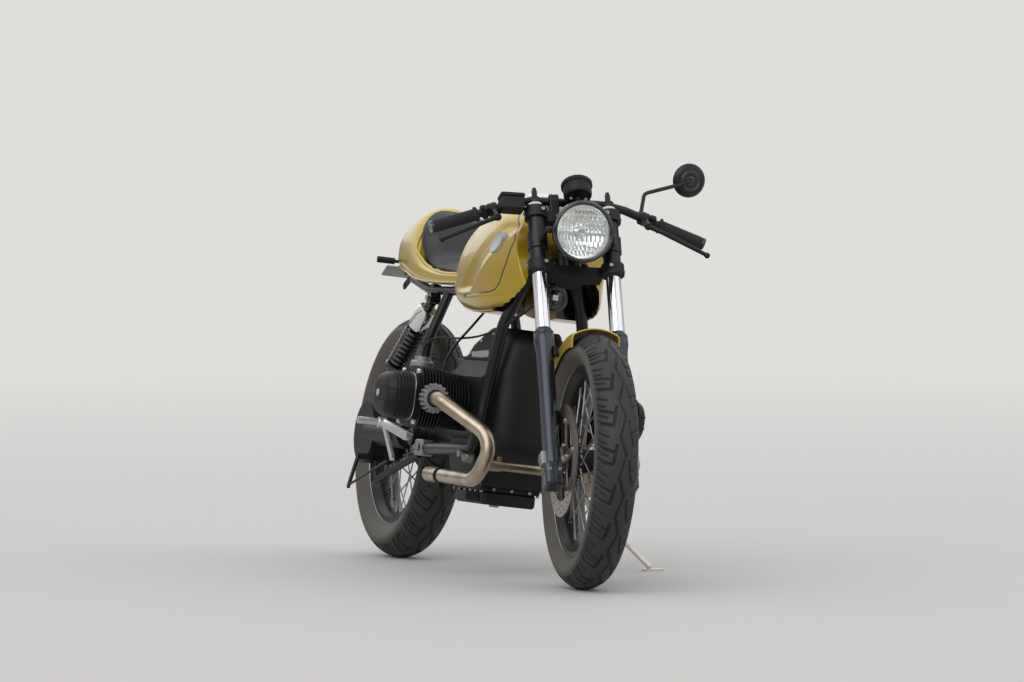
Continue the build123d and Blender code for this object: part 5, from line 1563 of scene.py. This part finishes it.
# %% Horn and plate
horn = lathe([(0, 0.01), (0, 30), (3, 35.5), (8, 37), (14, 37), (17, 34), (18, 27), (16, 22), (18, 15), (20, 12),
              (20, 0.01)], (0, 429, 735), (0, -1, 0), 64)
strap = block((0, 424, 800), (16, 4, 62), radius=1.5)
on_frame("horn_disc", [horn, strap], gloss_black, ["horn"])
on_frame("horn_centre_nut", block((0, 408.6, 735), (15, 15, 3.2), X, Z, 2), alloy)
plate_face = unit((0, 0.52, 0.854))
plate = block(np.array([0, 1582, 787]) + plate_face * 1.7, (182, 52, 3.6), X, (0, 0.854, -0.52), 5, 0.5)
on_frame("bare_number_plate", plate, label_steel)

# %% [markdown]
# ## Cables
# Two bare black cables show on the rider's right: one from the carburettor cap forward to the steering head, one
# from the spark plug up under the tank. Each is a curve through a few places where it is tied or bends. The far side,
# which the picture hides, has none.


# %% Cables
def eased(points, steps=14):
    """A smooth curve through points: each span is a cubic whose slopes are half the step between its neighbours."""
    points = np.asarray(points, float)
    slope = np.gradient(points, axis=0)
    t = np.linspace(0, 1, steps, endpoint=False)[None, :, None]
    a, b, m, n = points[:-1, None], points[1:, None], slope[:-1, None], slope[1:, None]
    start, leave, end, arrive = cubic_weights(t)
    curve = start * a + leave * m + end * b + arrive * n
    return np.concatenate([curve.reshape(-1, 3), points[-1:]])


def cable(name, points, diameter, material, body="frame", place="machine"):
    """A round cable along the eased curve."""
    curve = eased(points)
    made = piece(name, tube(curve, diameter, 10), place, body, material)


throttle_way = [(-184, 880, 549), (-182, 874, 580), (-168, 836, 602), (-142, 760, 606), (-124, 649, 614),
                (-117, 514, 634), (-110, 414, 660), (-88, 340, 700), (-48, 300, 760)]
plug_way = [(-205, 638, 512), (-196, 650, 545), (-160, 690, 590), (-110, 730, 640), (-60, 750, 700)]
cable("throttle_cable_right", throttle_way, 6, plastic)
cable("plug_lead_right", plug_way, 7, plastic)

# %% [markdown]
# ## Camera
# The photograph's camera is far off with a long lens, a little over headlamp height, looking slightly down. Its place
# and its focal length in pixels come from the fit of the wheels to the photograph.

# %% Camera
scene = bpy.context.scene
camera = bpy.data.objects.new("camera", bpy.data.cameras.new("camera"))
scene.collection.objects.link(camera)
camera.location = Vector(rear_at) + Vector((-4.8357, -14.5372, 0.587))
azimuth, down = np.radians(-19.44), np.radians(1.2)
looking = Vector((-np.sin(azimuth) * np.cos(down), np.cos(azimuth) * np.cos(down), -np.sin(down)))
camera.rotation_mode = "QUATERNION"
camera.rotation_quaternion = looking.to_track_quat("-Z", "Y")
sensor_mm, focal_px, image_px = 36, 5535, 1024
camera.data.sensor_width = sensor_mm
camera.data.lens = sensor_mm * focal_px / image_px
camera.data.clip_end = 200
scene.camera = camera
print("camera at", tuple(round(v, 3) for v in camera.location))

# %% [markdown]
# ## Floor
# The floor is one plain matt sheet that takes the shadow. Between 4 and 20 m from the motorcycle the camera, and only
# the camera, sees it fade into the colour of the backdrop, so that no horizon shows and no light is added.

# %% Floor
backdrop_colour = seen(224, 222, 219)
floor_mesh = bpy.data.meshes.new("floor")
floor_mesh.from_pydata([(-60, -60, 0), (60, -60, 0), (60, 60, 0), (-60, 60, 0)], [], [(0, 1, 2, 3)])
floor_material = finish("floor", seen(190, 187, 184), 0.85)
tree = floor_material.node_tree
glow = add(tree, "Emission", Color=backdrop_colour)
fade = add(tree, "MapRange", From_Min=4.0, From_Max=20.0)
far, both, blend = add(tree, "VectorMath"), add(tree, "Math"), add(tree, "MixShader")
far.operation, both.operation = "LENGTH", "MULTIPLY"
wire(tree,
     (add(tree, "TexCoord").outputs["Object"], far.inputs[0]),
     (far.outputs["Value"], fade.inputs["Value"]),
     (fade.outputs["Result"], both.inputs[0]),
     (add(tree, "LightPath").outputs["Is Camera Ray"], both.inputs[1]),
     (both.outputs["Value"], blend.inputs["Fac"]),
     (tree.nodes["Principled BSDF"].outputs["BSDF"], blend.inputs[1]),
     (glow.outputs["Emission"], blend.inputs[2]),
     (blend.outputs["Shader"], tree.nodes["Material Output"].inputs["Surface"]))
floor_mesh.materials.append(floor_material)
floor = bpy.data.objects.new("floor", floor_mesh)
scene.collection.objects.link(floor)
floor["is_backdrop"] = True

# %% [markdown]
# ## Light
# An overcast sky, pale above and darker towards the ground, lights every side. Three broad lamps, as wide as 60 to 70
# degrees of sky, give it a bright side without hard shadows. The camera itself sees only the plain backdrop.

# %% Light
world = bpy.data.worlds.new("world")
scene.world = world
world.use_nodes = True
tree = world.node_tree
tree.nodes.clear()
output, chooser, height = add(tree, "OutputWorld"), add(tree, "MixShader"), add(tree, "SeparateXYZ")
sky, backdrop = add(tree, "Background", Strength=0.75), add(tree, "Background", Color=backdrop_colour)
lift = add(tree, "MapRange", From_Min=-1)
sky_stops = [(0.44, (0.16, 0.15, 0.14, 1)), (0.5, (0.20, 0.18, 0.16, 1)), (0.56, (0.62, 0.62, 0.62, 1)),
             (0.7, (0.9, 0.92, 0.95, 1)), (1.0, (0.95, 0.97, 1.0, 1))]
wire(tree,
     (add(tree, "TexCoord").outputs["Generated"], height.inputs["Vector"]),
     (height.outputs["Z"], lift.inputs["Value"]),
     (ramp_through(tree, lift.outputs["Result"], sky_stops), sky.inputs["Color"]),
     (add(tree, "LightPath").outputs["Is Camera Ray"], chooser.inputs["Fac"]),
     (sky.outputs["Background"], chooser.inputs[1]),
     (backdrop.outputs["Background"], chooser.inputs[2]),
     (chooser.outputs["Shader"], output.inputs["Surface"]))

for name, where, width, power in (
    ("key", (-5, -5, 6), 60, 1.3), ("fill", (5, -4, 4), 70, 0.45), ("back", (1, 6, 5), 70, 0.6),
):
    sun = bpy.data.lights.new(name, "SUN")
    sun.angle, sun.energy = np.radians(width), power
    holder = bpy.data.objects.new(name, sun)
    holder.location = where
    holder.rotation_mode = "QUATERNION"
    holder.rotation_quaternion = (-Vector(where)).to_track_quat("-Z", "Y")
    scene.collection.objects.link(holder)
    holder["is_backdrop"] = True
    print(name, "lamp", power)
scene.view_settings.view_transform = "Standard"

# %% Sizes
low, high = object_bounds()
